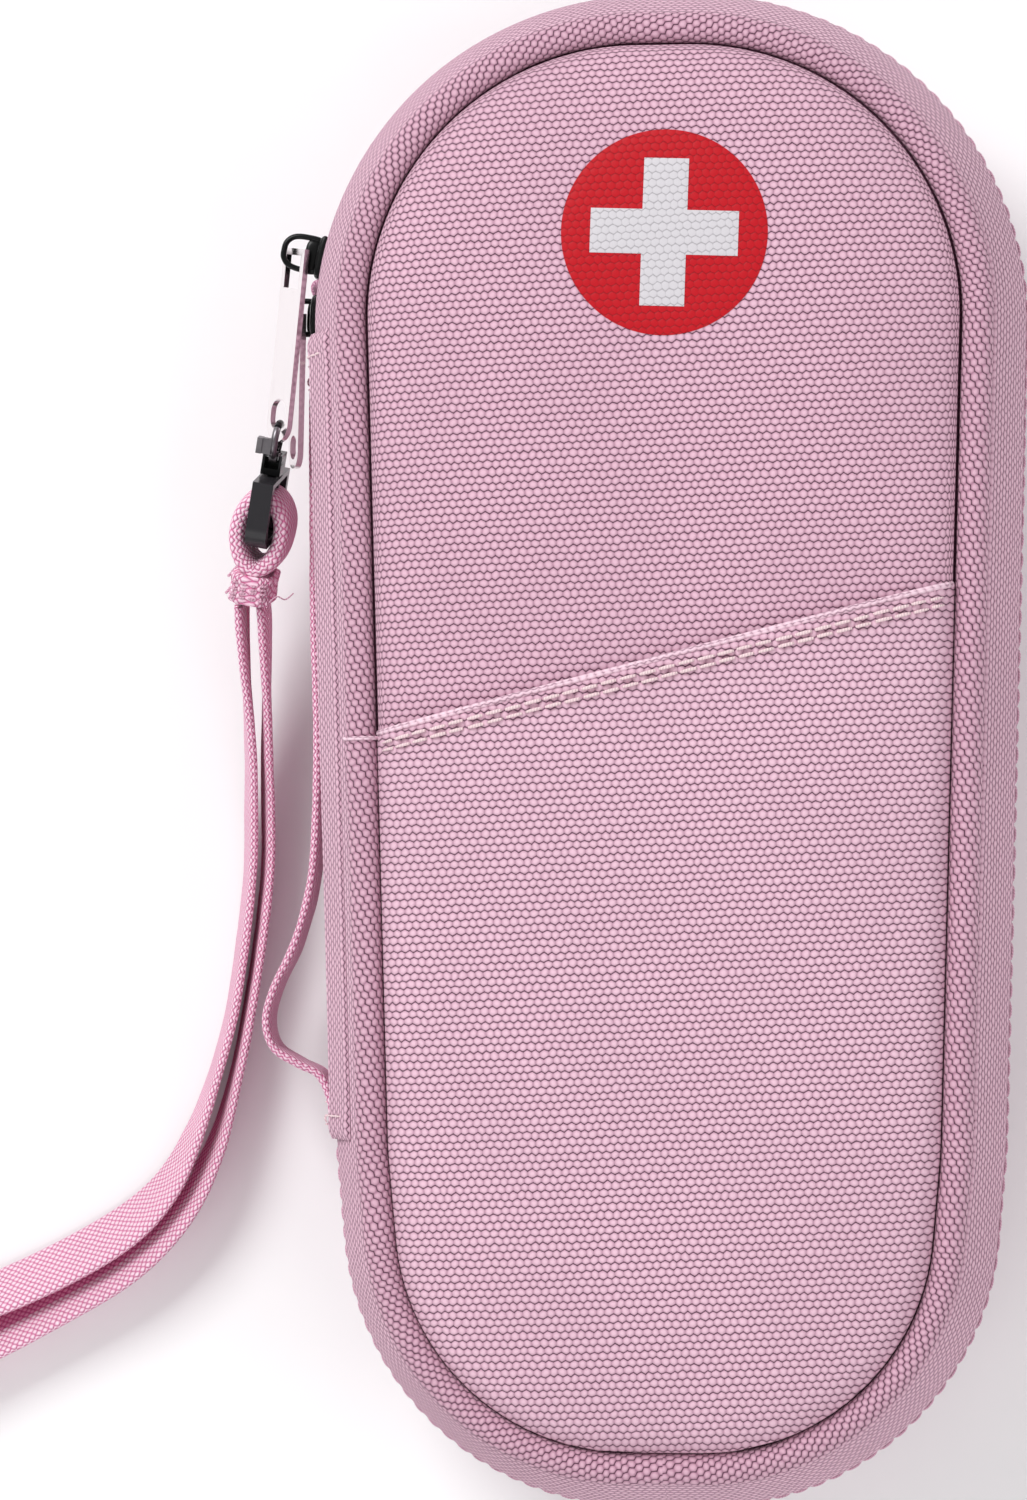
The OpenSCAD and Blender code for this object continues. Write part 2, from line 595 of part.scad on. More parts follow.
back_panel();
back_piping();
base_gusset();
base_foam();
base_lining();
base_zip_tape();
base_zip_teeth();
spine_leaf_base();
spine_leaf_lid();
handle();
handle_stitching();
zip_end_tab();
zip_stop();
loop_backing();
elastic_loops();
front_panel();
front_piping();
lid_gusset();
lid_foam();
lid_lining();
lid_zip_tape();
lid_zip_teeth();
pocket_panel();
pocket_hem();
pocket_stitching();
emblem_disc();
emblem_cross();
mesh_pocket();
mesh_binding();
slider_a();
pull_tab_a();
slider_b();
pull_tab_b();
clasp_hook();
clasp_pin();
clasp_spring();
clasp_trigger();
clasp_ring();
strap_wrap();
strap_bartack();
wrist_strap();
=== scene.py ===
import bpy, bmesh, math
import numpy as np
from mathutils import Vector, Matrix
from mathutils.kdtree import KDTree


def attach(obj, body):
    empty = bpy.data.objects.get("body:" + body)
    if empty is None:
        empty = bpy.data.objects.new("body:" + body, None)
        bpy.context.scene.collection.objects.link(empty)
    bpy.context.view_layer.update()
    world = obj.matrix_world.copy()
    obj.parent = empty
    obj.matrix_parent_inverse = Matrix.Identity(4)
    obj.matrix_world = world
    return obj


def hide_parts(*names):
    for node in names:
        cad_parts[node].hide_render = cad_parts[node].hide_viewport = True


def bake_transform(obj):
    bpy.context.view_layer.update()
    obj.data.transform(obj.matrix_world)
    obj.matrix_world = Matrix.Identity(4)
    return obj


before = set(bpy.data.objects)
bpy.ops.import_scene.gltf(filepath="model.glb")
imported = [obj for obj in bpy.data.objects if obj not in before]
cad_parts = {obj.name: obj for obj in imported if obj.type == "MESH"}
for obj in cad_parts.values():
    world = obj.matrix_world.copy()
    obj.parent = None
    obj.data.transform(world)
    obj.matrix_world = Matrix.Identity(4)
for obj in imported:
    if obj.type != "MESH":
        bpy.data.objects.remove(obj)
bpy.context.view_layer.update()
MM = 0.001

# ---- sizes, as in the CAD (mm)
CASE_W, CASE_L, CASE_D = 105.6, 224.0, 58.0
TOP_R, BOT_R, TAPER, LEAN = 49.0, 43.0, 4.3, 5.0
FABRIC_T, PIPE_R = 1.2, 2.3
ZIP_Z, CHAIN_GAP, CHAIN_H = 28.0, 1.2, 1.3
MID_R = TOP_R - 3
MID_Y = -CASE_L / 2 + BOT_R + 12
TOP_C = np.array([CASE_W / 2 - TOP_R, CASE_L / 2 - TOP_R])
MID_C = np.array([CASE_W / 2 - TAPER * 0.75 - MID_R, MID_Y])
BOT_C = np.array([CASE_W / 2 - TAPER - BOT_R, -CASE_L / 2 + BOT_R])
PIPE_IN = LEAN + PIPE_R - 0.4
BACK_PIPE_Z, FRONT_PIPE_Z = PIPE_R + 0.5, CASE_D - 8
CHAIN_LO = ZIP_Z - CHAIN_GAP / 2 - CHAIN_H
CHAIN_HI = ZIP_Z + CHAIN_GAP / 2 + CHAIN_H
WALL_LO, WALL_HI, KNEE = CHAIN_LO - 0.1, CHAIN_HI + 0.1, 6.0
LOW_END, HIGH_END = BACK_PIPE_Z + PIPE_R - 0.1, FRONT_PIPE_Z - PIPE_R + 0.1
PANEL_IN = PIPE_IN + PIPE_R + 0.1
CROWN_Z = CASE_D - 1
RIM_LO, RIM_HI = CHAIN_LO - 1.8, CHAIN_HI + 1.3
FOAM_D = FABRIC_T + 0.1 + 0.8 + 0.2
HINGE_X, HINGE_Z = -CASE_W / 2 - 1, ZIP_Z + 5
LEAF_GAP, LEAF_T = 0.35, 0.7


def tangent(c1, r1, c2, r2):
    d = c1 - c2
    return math.atan2(d[1], d[0]) - math.acos((r2 - r1) / math.hypot(*d))


A_TOP = tangent(TOP_C, TOP_R, MID_C, MID_R)
A_BOT = tangent(MID_C, MID_R, BOT_C, BOT_R)


def _half():
    """Right half of the outline, bottom to top, as (point, normal) lists."""
    p, n = [np.array([0, -CASE_L / 2])], [np.array([0.0, -1.0])]
    for c, r, a0, a1, k in ((BOT_C, BOT_R, -math.pi / 2, A_BOT, 160), (MID_C, MID_R, A_BOT, A_TOP, 12),
                            (TOP_C, TOP_R, A_TOP, math.pi / 2, 180)):
        for i in range(k + 1):
            a = a0 + (a1 - a0) * i / k
            u = np.array([math.cos(a), math.sin(a)])
            p.append(c + r * u)
            n.append(u)
    p.append(np.array([0, CASE_L / 2]))
    n.append(np.array([0.0, 1.0]))
    return p, n


_p, _n = _half()
_p = _p + [q * [-1, 1] for q in _p[-2:0:-1]]
_n = _n + [q * [-1, 1] for q in _n[-2:0:-1]]
OUT_P, OUT_N = np.array(_p + [_p[0]]), np.array(_n + [_n[0]])
OUT_S = np.concatenate([[0], np.cumsum(np.linalg.norm(np.diff(OUT_P, axis=0), axis=1))])
LOOP = OUT_S[-1]


def outline(s):
    """Points and outward normals at distances s along the outline from the bottom middle, anticlockwise."""
    s = np.mod(np.asarray(s, float), LOOP)
    p = np.stack([np.interp(s, OUT_S, OUT_P[:, k]) for k in (0, 1)], -1)
    n = np.stack([np.interp(s, OUT_S, OUT_N[:, k]) for k in (0, 1)], -1)
    return p, n / np.linalg.norm(n, axis=-1, keepdims=True)


def s_at(x_sign, y):
    """Distance along the outline of the point at height y on the right (+1) or left (-1) side."""
    s = np.linspace(0, LOOP / 2, 4001)
    p, _ = outline(s)
    k = s[np.argmin(np.abs(p[:, 1] - y))]
    return k if x_sign > 0 else LOOP - k


_tree = KDTree(3000)
for _i, _q in enumerate(outline(np.linspace(0, LOOP, 3000, endpoint=False))[0]):
    _tree.insert((_q[0], _q[1], 0), _i)
_tree.balance()


def inset(x, y):
    return _tree.find((x, y, 0))[2]


def crown(d):
    """Height of the padded front at inset d."""
    x = np.clip((np.asarray(d, float) - PANEL_IN) / 30, 0, 1)
    return FRONT_PIPE_Z - 0.2 + (CROWN_Z - FRONT_PIPE_Z + 0.3) * (1 - (1 - x) ** 2.2) ** 0.42


# ---- mesh helpers
def turn(n):
    """n angles once round."""
    return np.linspace(0, 2 * math.pi, n, endpoint=False)


def circle(cx, cy, rx, ry, n):
    return [(cx + rx * math.cos(a), cy + ry * math.sin(a)) for a in turn(n)]


def unit(v):
    return v / np.linalg.norm(v, axis=1, keepdims=True)


def local(o, X, Y, Z):
    """Function from points in a piece's own axes to points of the frame."""
    return lambda q: o + np.atleast_2d(np.asarray(q, float)) @ np.array([X, Y, Z])


def place(ob, body, slot, *nodes):
    """The piece rides on the body, and the nodes it replaces, if any, are hidden; slot is not used."""
    if nodes:
        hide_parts(*nodes)
    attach(ob, body)
    return ob


def thicken(ob, mm, offset):
    m = ob.modifiers.new("thickness", "SOLIDIFY")
    m.thickness, m.offset = mm * MM, offset


def mend(ob, merge=False, thin=False):
    """Faces turned outwards, after merging double points and dropping edges without length where asked."""
    bm = bmesh.new()
    bm.from_mesh(ob.data)
    if merge:
        bmesh.ops.remove_doubles(bm, verts=bm.verts, dist=2e-6)
    if thin:
        bmesh.ops.dissolve_degenerate(bm, dist=1e-6, edges=bm.edges)
    bmesh.ops.recalc_face_normals(bm, faces=bm.faces)
    bm.to_mesh(ob.data)
    bm.free()
    return ob


def smooth_noise(x, y, seed=0):
    """A few sines: a soft, repeatable unevenness between about -1 and 1."""
    r = np.random.RandomState(seed)
    v = 0
    for k in range(6):
        a, f, ph = r.uniform(0, 2 * math.pi), r.uniform(0.5, 1.6), r.uniform(0, 2 * math.pi)
        v = v + np.sin((np.cos(a) * x + np.sin(a) * y) * f + ph)
    return v / 3.5


def make(name, verts, faces, uvs=None, mat=None):
    """Mesh object from points in mm; uvs holds one (u, v) in mm for each face corner."""
    me = bpy.data.meshes.new(name)
    me.from_pydata([tuple(v) for v in (np.asarray(verts, float) * MM)], [], [tuple(f) for f in faces])
    if uvs is not None:
        lay = me.uv_layers.new(name="UVMap")
        lay.data.foreach_set("uv", np.asarray(uvs, np.float32).ravel())
    me.validate()
    me.polygons.foreach_set("use_smooth", [True] * len(me.polygons))
    ob = bpy.data.objects.new(name, me)
    bpy.context.scene.collection.objects.link(ob)
    if mat:
        me.materials.append(mat)
    return ob


def uv_grid(name, P, UV, mat, closed=False):
    """Open sheet of points P[i, j] with a texture point UV[i, j] each; closed joins the last row to the first."""
    n, m = P.shape[:2]
    faces, uvs = [], []
    for i in range(n if closed else n - 1):
        k = (i + 1) % n
        for j in range(m - 1):
            faces.append([i * m + j, k * m + j, k * m + j + 1, i * m + j + 1])
            uvs += [UV[i, j], UV[k, j], UV[k, j + 1], UV[i, j + 1]]
    return make(name, P.reshape(-1, 3), faces, uvs, mat)


def grid(name, P, U, V, closed_u=False, closed_v=False, mat=None, flip=False, cap=False):
    """P[i, j] is a grid of points in mm; U[i], V[j] (or V[i, j]) its lengths in mm, one longer where closed."""
    n, m = P.shape[:2]
    U, V = np.asarray(U, float), np.asarray(V, float)
    if V.ndim == 1:
        V = np.repeat(V[None, :], n + (1 if closed_u else 0), 0)
    faces, uvs = [], []
    for i in range(n if closed_u else n - 1):
        k = (i + 1) % n
        for j in range(m if closed_v else m - 1):
            l = (j + 1) % m
            f = [i * m + j, k * m + j, k * m + l, i * m + l]
            w = [(U[i], V[i, j]), (U[i + 1], V[min(i + 1, len(V) - 1), j]),
                 (U[i + 1], V[min(i + 1, len(V) - 1), j + 1]), (U[i], V[i, j + 1])]
            if flip:
                f, w = f[::-1], w[::-1]
            faces.append(f)
            uvs.extend(w)
    if cap and closed_v and not closed_u:
        for i, rev in ((0, False), (n - 1, True)):
            f = [i * m + j for j in range(m)]
            w = [(U[i], V[i, j]) for j in range(m)]
            if rev != flip:
                f, w = f[::-1], w[::-1]
            faces.append(f)
            uvs.extend(w)
    return make(name, P.reshape(-1, 3), faces, uvs, mat)


def seg_len(q, closed=False):
    q = np.asarray(q, float)
    if closed:
        q = np.vstack([q, q[:1]])
    return np.concatenate([[0], np.cumsum(np.linalg.norm(np.diff(q, axis=0), axis=1))])


def signed(prof):
    q = np.asarray(prof, float)
    x, z = -q[:, 0], q[:, 1]
    return np.sum(x * np.roll(z, -1) - np.roll(x, -1) * z)


RING_S = np.linspace(0, LOOP, 300, endpoint=False)


def sweep(name, prof, mat, s=RING_S, ring=True, bend=None):
    """Closed profile of (inset, height) pairs carried round the outline, or along part of it with closed ends."""
    prof = np.asarray(prof, float)
    if signed(prof) < 0:
        prof = prof[::-1]
    p, q = outline(s)
    d, z = (np.repeat(prof[None, :, k], len(s), 0) for k in (0, 1))
    if bend is not None:
        d, z = bend(s[:, None], d, z)
    P = np.stack([p[:, None, 0] - d * q[:, None, 0], p[:, None, 1] - d * q[:, None, 1], z], -1)
    return grid(name, P, np.append(s, LOOP) if ring else s, seg_len(prof, True), ring, True, mat, cap=True)


def rounded(prof, r=0.3, k=3):
    """Closed profile with its corners rounded."""
    q = [np.array(v, float) for v in prof]
    out = []
    for i, c in enumerate(q):
        a, b = q[i - 1] - c, q[(i + 1) % len(q)] - c
        la, lb = np.linalg.norm(a), np.linalg.norm(b)
        t = min(r, la * 0.45, lb * 0.45)
        p0, p1 = c + a / la * t, c + b / lb * t
        for j in range(k + 1):
            w = j / k
            out.append((1 - w) ** 2 * p0 + 2 * w * (1 - w) * c + w * w * p1)
    return np.array(out)


def loft(name, rings, mat, steps=8, zfun=None):
    """Stack of outlines (inset, height); the last is filled in towards the case's middle line."""
    p, q = outline(RING_S)
    n = len(RING_S)
    mid = np.stack([np.zeros(n), np.clip(p[:, 1], BOT_C[1], TOP_C[1])], -1)

    def ring_pts(d, z):
        return np.column_stack([p - d * q, np.full(n, z)])

    cols = [ring_pts(d, z) for d, z in rings]
    extra = [l - abs(rings[0][0] - r[0]) for l, r in zip(seg_len(rings), rings)]
    uv = [c[:, :2] + q * (extra[-1] - e) for c, e in zip(cols, extra)]
    base = ring_pts(*rings[-1])
    for k in range(1, steps + 1):
        c = base.copy()
        c[:, :2] = base[:, :2] * (1 - k / steps) + mid * (k / steps)
        cols.append(c)
        uv.append(c[:, :2].copy())
    P = np.stack(cols, 1)
    return mend(uv_grid(name, P if zfun is None else zfun(P), np.stack(uv, 1), mat, closed=True), merge=True, thin=True)


def spline(pts, k):
    """Catmull-Rom curve through points, k steps a span."""
    p = np.asarray(pts, float)
    n = len(p)
    out = []
    for i in range(n - 1):
        a, b, c, d = p[max(0, i - 1)], p[i], p[i + 1], p[min(n - 1, i + 2)]
        for j in range(k):
            t = j / k
            out.append(0.5 * (2 * b + (c - a) * t + (2 * a - 5 * b + 4 * c - d) * t * t
                              + (3 * b - a - 3 * c + d) * t ** 3))
    out.append(p[-1])
    return np.array(out)


def frames_along(path, wide, closed=False):
    """Tangent, side and wide directions along a path; wide is the direction of a ribbon's width."""
    t = unit(np.roll(path, -1, 0) - np.roll(path, 1, 0) if closed else np.gradient(path, axis=0))
    w = np.broadcast_to(np.asarray(wide, float), path.shape).copy()
    w = unit(w - np.sum(w * t, 1, keepdims=True) * t)
    return t, np.cross(t, w), w


def super_ring(a, edge, rx, ry):
    """Rounded rectangle at the angles a, squarer as edge grows."""
    c, s = np.cos(a), np.sin(a)
    return np.sign(c) * np.abs(c) ** (2 / edge) * rx, np.sign(s) * np.abs(s) ** (2 / edge) * ry


def ribbon(name, path, wide, width, thick, mat, k=24, lump=0.05, closed=False, seed=1, edge=4.0):
    """Flat webbing along a path: a soft rectangle with rounded selvedges, uneven by lump mm."""
    path = np.asarray(path, float)
    t, side, w = frames_along(path, wide, closed)
    cw, ct = super_ring(turn(k), edge, width / 2, thick / 2)
    U = seg_len(path, closed)
    wob = 1 + lump * smooth_noise(U[:len(path)] * 0.9, 0 * U[:len(path)], seed)
    P = path[:, None] + w[:, None] * cw[None, :, None] + side[:, None] * (ct[None, :, None] * wob[:, None, None])
    return grid(name, P, U, seg_len(np.column_stack([cw, ct]), True), closed, True, mat, flip=True, cap=True)


def tube(name, path, r, mat, k=8):
    path = np.asarray(path, float)
    t, side, w = frames_along(path, np.array([0.3, 0.2, 1.0]))
    ring = r * np.column_stack([np.cos(turn(k)), np.sin(turn(k))])
    P = path[:, None] + w[:, None] * ring[None, :, :1] + side[:, None] * ring[None, :, 1:]
    return grid(name, P, seg_len(path), seg_len(ring, True), False, True, mat, flip=True, cap=True)


def join(name, objs):
    """Several mesh objects as one."""
    bm = bmesh.new()
    mats = []
    for o in objs:
        me = o.data
        me.transform(o.matrix_world)
        for m in me.materials:
            if m not in mats:
                mats.append(m)
    for o in objs:
        off = mats.index(o.data.materials[0]) if o.data.materials else 0
        n0 = len(bm.faces)
        bm.from_mesh(o.data)
        bm.faces.ensure_lookup_table()
        for f in bm.faces[n0:]:
            f.material_index = off
    me = bpy.data.meshes.new(name)
    bm.to_mesh(me)
    bm.free()
    for m in mats:
        me.materials.append(m)
    ob = bpy.data.objects.new(name, me)
    bpy.context.scene.collection.objects.link(ob)
    for o in objs:
        old = o.data
        bpy.data.objects.remove(o)
        bpy.data.meshes.remove(old)
    return ob


def stitches(name, path, normals, mat, pitch=3.0, gap=0.45, r=0.19, lift=0.08, seed=3):
    """A run of lock stitches: short threads that come up out of the cloth and dive back in."""
    path, normals = np.asarray(path, float), np.asarray(normals, float)
    L = seg_len(path)
    rnd = np.random.RandomState(seed)
    V, F, W = [], [], []
    at = 0.4
    k = 6
    a = turn(k)
    while at + pitch < L[-1]:
        ln = (pitch - gap) * rnd.uniform(0.93, 1.05)
        ss = at + np.array([0, 0.08, 0.25, 0.5, 0.75, 0.92, 1.0]) * ln
        c = np.stack([np.interp(ss, L, path[:, j]) for j in range(3)], -1)
        nn = np.stack([np.interp(ss, L, normals[:, j]) for j in range(3)], -1)
        nn = unit(nn)
        c = c + nn * (np.array([-0.25, 0.0, 0.8, 1.0, 0.8, 0.0, -0.25])[:, None] * r * 0.9 + lift)
        b = np.cross(unit(np.gradient(c, axis=0)), nn)
        rr = r * np.array([0.75, 0.95, 1.05, 1.08, 1.05, 0.95, 0.75]) * rnd.uniform(0.92, 1.08)
        c = c + b * rnd.uniform(-0.07, 0.07)
        base = len(V)
        for i in range(7):
            for j in range(k):
                V.append(c[i] + (nn[i] * math.cos(a[j]) + b[i] * math.sin(a[j])) * rr[i])
        for i in range(6):
            for j in range(k):
                l = (j + 1) % k
                F.append([base + i * k + j, base + i * k + l, base + (i + 1) * k + l, base + (i + 1) * k + j])
                W += [(ss[i], j), (ss[i], j + 1), (ss[i + 1], j + 1), (ss[i + 1], j)]
        for i, rev in ((0, True), (6, False)):
            f = [base + i * k + j for j in range(k)]
            F.append(f[::-1] if rev else f)
            W += [(ss[i], 0)] * k
        at += pitch * rnd.uniform(0.98, 1.02)
    return make(name, V, F, W, mat)


# ---- materials
def lin(c, k=1.0):
    """Linear colour of an sRGB one from 0 to 255, darkened to k."""
    c = [v * k / 255 for v in c]
    return tuple((v / 12.92 if v <= 0.04045 else ((v + 0.055) / 1.055) ** 2.4) for v in c) + (1.0,)


class G:
    """Small node-graph builder."""

    def __init__(self, name):
        self.m = bpy.data.materials.new(name)
        self.m.use_nodes = True
        self.t = self.m.node_tree
        self.t.nodes.clear()
        self.out = self.t.nodes.new("ShaderNodeOutputMaterial")
        self.b = self.t.nodes.new("ShaderNodeBsdfPrincipled")
        self.t.links.new(self.b.outputs[0], self.out.inputs[0])

    def put(self, sock, v):
        if hasattr(v, "links"):
            self.t.links.new(v, sock)
        else:
            sock.default_value = v

    def node(self, kind, inputs, **settings):
        """New shader node; its inputs, by index or name, are linked or set."""
        n = self.t.nodes.new("ShaderNode" + kind)
        for k, v in settings.items():
            setattr(n, k, v)
        for k, v in inputs.items():
            self.put(n.inputs[k], v)
        return n

    def math(self, op, a, b=None, clamp=False):
        return self.node("Math", {0: a} if b is None else {0: a, 1: b}, operation=op, use_clamp=clamp).outputs[0]

    def add(self, a, b, clamp=False):
        return self.math("ADD", a, b, clamp=clamp)

    def sub(self, a, b, clamp=False):
        return self.math("SUBTRACT", a, b, clamp=clamp)

    def mul(self, a, b):
        return self.math("MULTIPLY", a, b)

    def uv(self):
        vec = self.node("UVMap", {}, uv_map="UVMap").outputs[0]
        xyz = self.node("SeparateXYZ", {0: vec}).outputs
        return vec, xyz[0], xyz[1]

    def obj(self):
        return self.node("TexCoord", {}).outputs["Object"]

    def noise(self, vec, scale, detail=2.0, rough=0.5, dim="3D"):
        return self.node("TexNoise", {"Vector": vec, "Scale": scale, "Detail": detail, "Roughness": rough},
                         noise_dimensions=dim).outputs["Fac"]

    def ramp(self, fac, stops):
        n = self.node("ValToRGB", {0: fac})
        e = n.color_ramp.elements
        while len(e) < len(stops):
            e.new(0.5)
        for k, (p, c) in enumerate(stops):
            e[k].position, e[k].color = p, lin(c)
        return n.outputs[0]

    def mixc(self, fac, a, b):
        return self.node("Mix", {0: fac, 6: a, 7: b}, data_type="RGBA").outputs[2]

    def step(self, v, lo, hi):
        return self.node("MapRange", {0: v, 1: lo, 2: hi, 3: 0.0, 4: 1.0}, interpolation_type="SMOOTHSTEP").outputs[0]

    def bump(self, h, dist):
        return self.node("Bump", {"Strength": 1.0, "Distance": dist, "Height": h}).outputs[0]

    def end(self, color, rough, normal=None, metallic=0.0, sheen=0.0, tint=(1, 1, 1, 1), spec=0.3):
        values = {"Base Color": color, "Roughness": rough, "Metallic": metallic, "Specular IOR Level": spec}
        if sheen:
            values.update({"Sheen Weight": sheen, "Sheen Roughness": 0.5, "Sheen Tint": tint})
        if normal is not None:
            values["Normal"] = normal
        for k, v in values.items():
            self.put(self.b.inputs[k], v)
        return self.m


def cells(g, u, v, pu, pv):
    """Domes on an alternating lattice: height 0..1, and 0 on the zigzag line between rows."""
    def lattice(off):
        a, b = (g.mul(g.sub(g.math("FRACT", g.add(g.math("DIVIDE", q, period), 0.5 - off)), 0.5), period)
                for q, period in ((u, pu), (v, 2 * pv)))
        return g.add(g.mul(a, a), g.mul(b, b))
    A, B = lattice(0.0), lattice(0.5)
    near = g.math("MINIMUM", A, B)
    r2 = (pu * pu / 4 + pv * pv) / 4
    dome = g.sub(1.0, g.math("DIVIDE", near, r2 * 1.5), clamp=True)
    zig = g.step(g.math("ABSOLUTE", g.sub(A, B)), 0.0, 0.22 * pu * pv)
    return dome, zig


def woven(name, top, mid, gap, pu, pv, depth, tilt=0.0, swap=False, rough=0.82, sheen=0.15, print_on=None, gapamt=1.0,
          uneven=0.14):
    """Cloth whose yarns stand up as small domes, coloured by their height as painted shade in the gaps and painted
    highlight on the tops; print_on paints over it and half fills the gaps.
    """
    g = G(name)
    vec, u0, v0 = g.uv()
    ct, st = math.cos(tilt), math.sin(tilt)
    u, v = (g.add(q, g.mul(g.sub(g.noise(vec, scale, 1.0, 0.4, "2D"), 0.5), uneven * 3))
            for q, scale in ((g.add(g.mul(u0, ct), g.mul(v0, st)), 0.55), (g.sub(g.mul(v0, ct), g.mul(u0, st)), 0.43)))
    if swap:
        u, v = v, u
    dome, zig = cells(g, u, v, pu, pv)
    fine = g.noise(vec, 6.0, 2.0, 0.6, "2D")
    h = g.mul(g.math("POWER", dome, 0.8), g.add(0.22, g.mul(zig, 0.78)))
    # painted shade and highlight: the colour follows the dome height, the gap colour in the gaps between rows and the
    # pale top colour on the dome tops, with fine noise for random fibre tone
    tone = g.add(h, g.mul(g.sub(fine, 0.5), 0.35), clamp=True)
    base = g.ramp(tone, [(0.0, gap), (0.14 * gapamt, gap), (0.36 * gapamt, [x * 0.90 for x in mid]), (0.6, mid),
                         (0.95, top)])
    fade = g.mul(g.step(g.noise(vec, 0.035, 3.0, 0.55, "2D"), 0.3, 0.75), 0.10)
    col = g.mixc(fade, base, lin(mid, 0.82))
    if print_on is not None:
        ink, cover = print_on
        patch = g.noise(vec, 2.2, 3.0, 0.6, "2D")
        # painted shade: the ink is a fifth darker in the weave's gaps, broken up by the random patch noise
        inked = g.mixc(g.step(g.add(h, g.mul(patch, 0.5)), 0.25, 0.95), lin(ink, 0.80), lin(ink))
        col = g.mixc(cover, base, inked)
    return g.end(col, rough, g.bump(g.add(h, g.mul(fine, 0.10)), depth * MM), sheen=sheen,
                 tint=(1.0, 0.93, 0.97, 1), spec=0.25)


def thread_mat(name, c):
    g = G(name)
    vec, u, v = g.uv()
    tw = g.math("SINE", g.add(g.mul(u, 14.0), g.mul(v, 1.05)))
    n = g.noise(g.obj(), 2500, 2.0)
    # painted shade: the thread is a tenth darker in the grooves of its twist; the noise mix below is random tone
    col = g.mixc(g.step(tw, -1, 1), lin(c, 0.90), lin(c))
    col = g.mixc(g.mul(n, 0.2), col, lin(c, 0.9))
    return g.end(col, 0.6, g.bump(g.add(tw, n), 0.05 * MM), sheen=0.2, spec=0.35)


def metal_mat(name, c, rough=0.25, brush=1.0, metallic=1.0, edge_tint=None, spec=0.5):
    g = G(name)
    o = g.obj()
    stretched = g.node("Mapping", {0: o, "Scale": (1, 0.12, 1)}).outputs[0]
    n = g.noise(stretched, 1800, 4.0, 0.65)
    s = g.noise(o, 315, 3.0, 0.6)
    col = g.mixc(g.step(s, 0.35, 0.75), lin(c), lin(c, 0.86))
    # on sharp edges the colour turns towards the given edge colour: lighter on the nickel, greyer on the black metal
    if edge_tint:
        edge = g.step(g.add(g.node("NewGeometry", {}).outputs["Pointiness"], g.mul(g.sub(s, 0.5), 0.06)), 0.53, 0.60)
        col = g.mixc(edge, col, lin(edge_tint))
    r = g.add(rough, g.mul(g.sub(n, 0.5), 0.22 * brush), clamp=True)
    return g.end(col, r, g.bump(g.add(n, g.mul(s, 0.5)), 0.012 * MM * brush), metallic=metallic, spec=spec)


def foam_mat():
    g = G("foam")
    o = g.obj()
    cell = g.node("TexVoronoi", {"Vector": o, "Scale": 1400}).outputs["Distance"]
    n = g.noise(o, 300, 3.0)
    # painted shade: darker in the hollows of the cells
    col = g.ramp(g.add(cell, g.mul(n, 0.3)), [(0.1, (52, 51, 55)), (0.8, (88, 86, 92))])
    return g.end(col, 0.95, g.bump(cell, 0.3 * MM), spec=0.1)


def tape_mat(name, c):
    g = G(name)
    vec, u, v = g.uv()
    rib = g.math("SINE", g.mul(u, 2 * math.pi / 0.55))
    rib2 = g.math("SINE", g.mul(v, 2 * math.pi / 0.8))
    n = g.noise(vec, 2.0, 3.0, 0.6, "2D")
    h = g.add(g.mul(rib, 0.5), g.mul(rib2, 0.3))
    # painted shade: darker in the grooves between the ribs, broken up by noise
    col = g.mixc(g.step(g.add(h, n), -0.4, 1.2), lin(c, 0.6), lin(c))
    return g.end(col, 0.8, g.bump(h, 0.08 * MM), sheen=0.1, spec=0.25)


def plastic_mat(name, c, rough=0.42):
    g = G(name)
    o = g.obj()
    n = g.noise(o, 1800, 3.0, 0.6)
    s = g.noise(o, 220, 2.0, 0.5)
    col = g.mixc(g.step(s, 0.3, 0.8), lin(c), lin([min(255, x * 1.25 + 6) for x in c]))
    return g.end(col, g.add(rough, g.mul(g.sub(n, 0.5), 0.2)), g.bump(n, 0.02 * MM), spec=0.45)


TILT = math.radians(2.4)
# weave colours for tops, middles and gaps: the dark plum GAP in the gaps between rows is painted shade and the paler
# tops are painted highlight; the same holds for the other woven colours below
PINK, PINKM, GAP = (224, 183, 201), (199, 153, 174), (84, 42, 65)
M_CLOTH = woven("shell_fabric", PINK, PINKM, GAP, 1.2, 1.07, 0.28, TILT)
M_POCKET = woven("pocket_fabric", (231, 192, 209), (206, 161, 182), GAP, 1.2, 1.07, 0.28, TILT)
M_SIDE = woven("gusset_fabric", PINK, PINKM, GAP, 1.2, 1.07, 0.28, 0.0)
M_PIPE = woven("piping_fabric", (216, 174, 192), (186, 138, 160), GAP, 1.22, 1.08, 0.30, 0.6)
M_LINING = woven("lining_fabric", (222, 202, 212), (206, 182, 195), (150, 120, 136), 0.5, 0.45, 0.06, 0, rough=0.5,
                 sheen=0.3)
# webbing: the near-white rib tops are painted highlight, and the hot pink in the gaps paints light glowing through and
# bouncing within the weave
M_WEB = woven("webbing", (253, 226, 238), (250, 188, 216), (236, 112, 168), 1.3, 0.55, 0.30, 0, True, rough=0.75,
              sheen=0.0, uneven=0.08, gapamt=0.8)
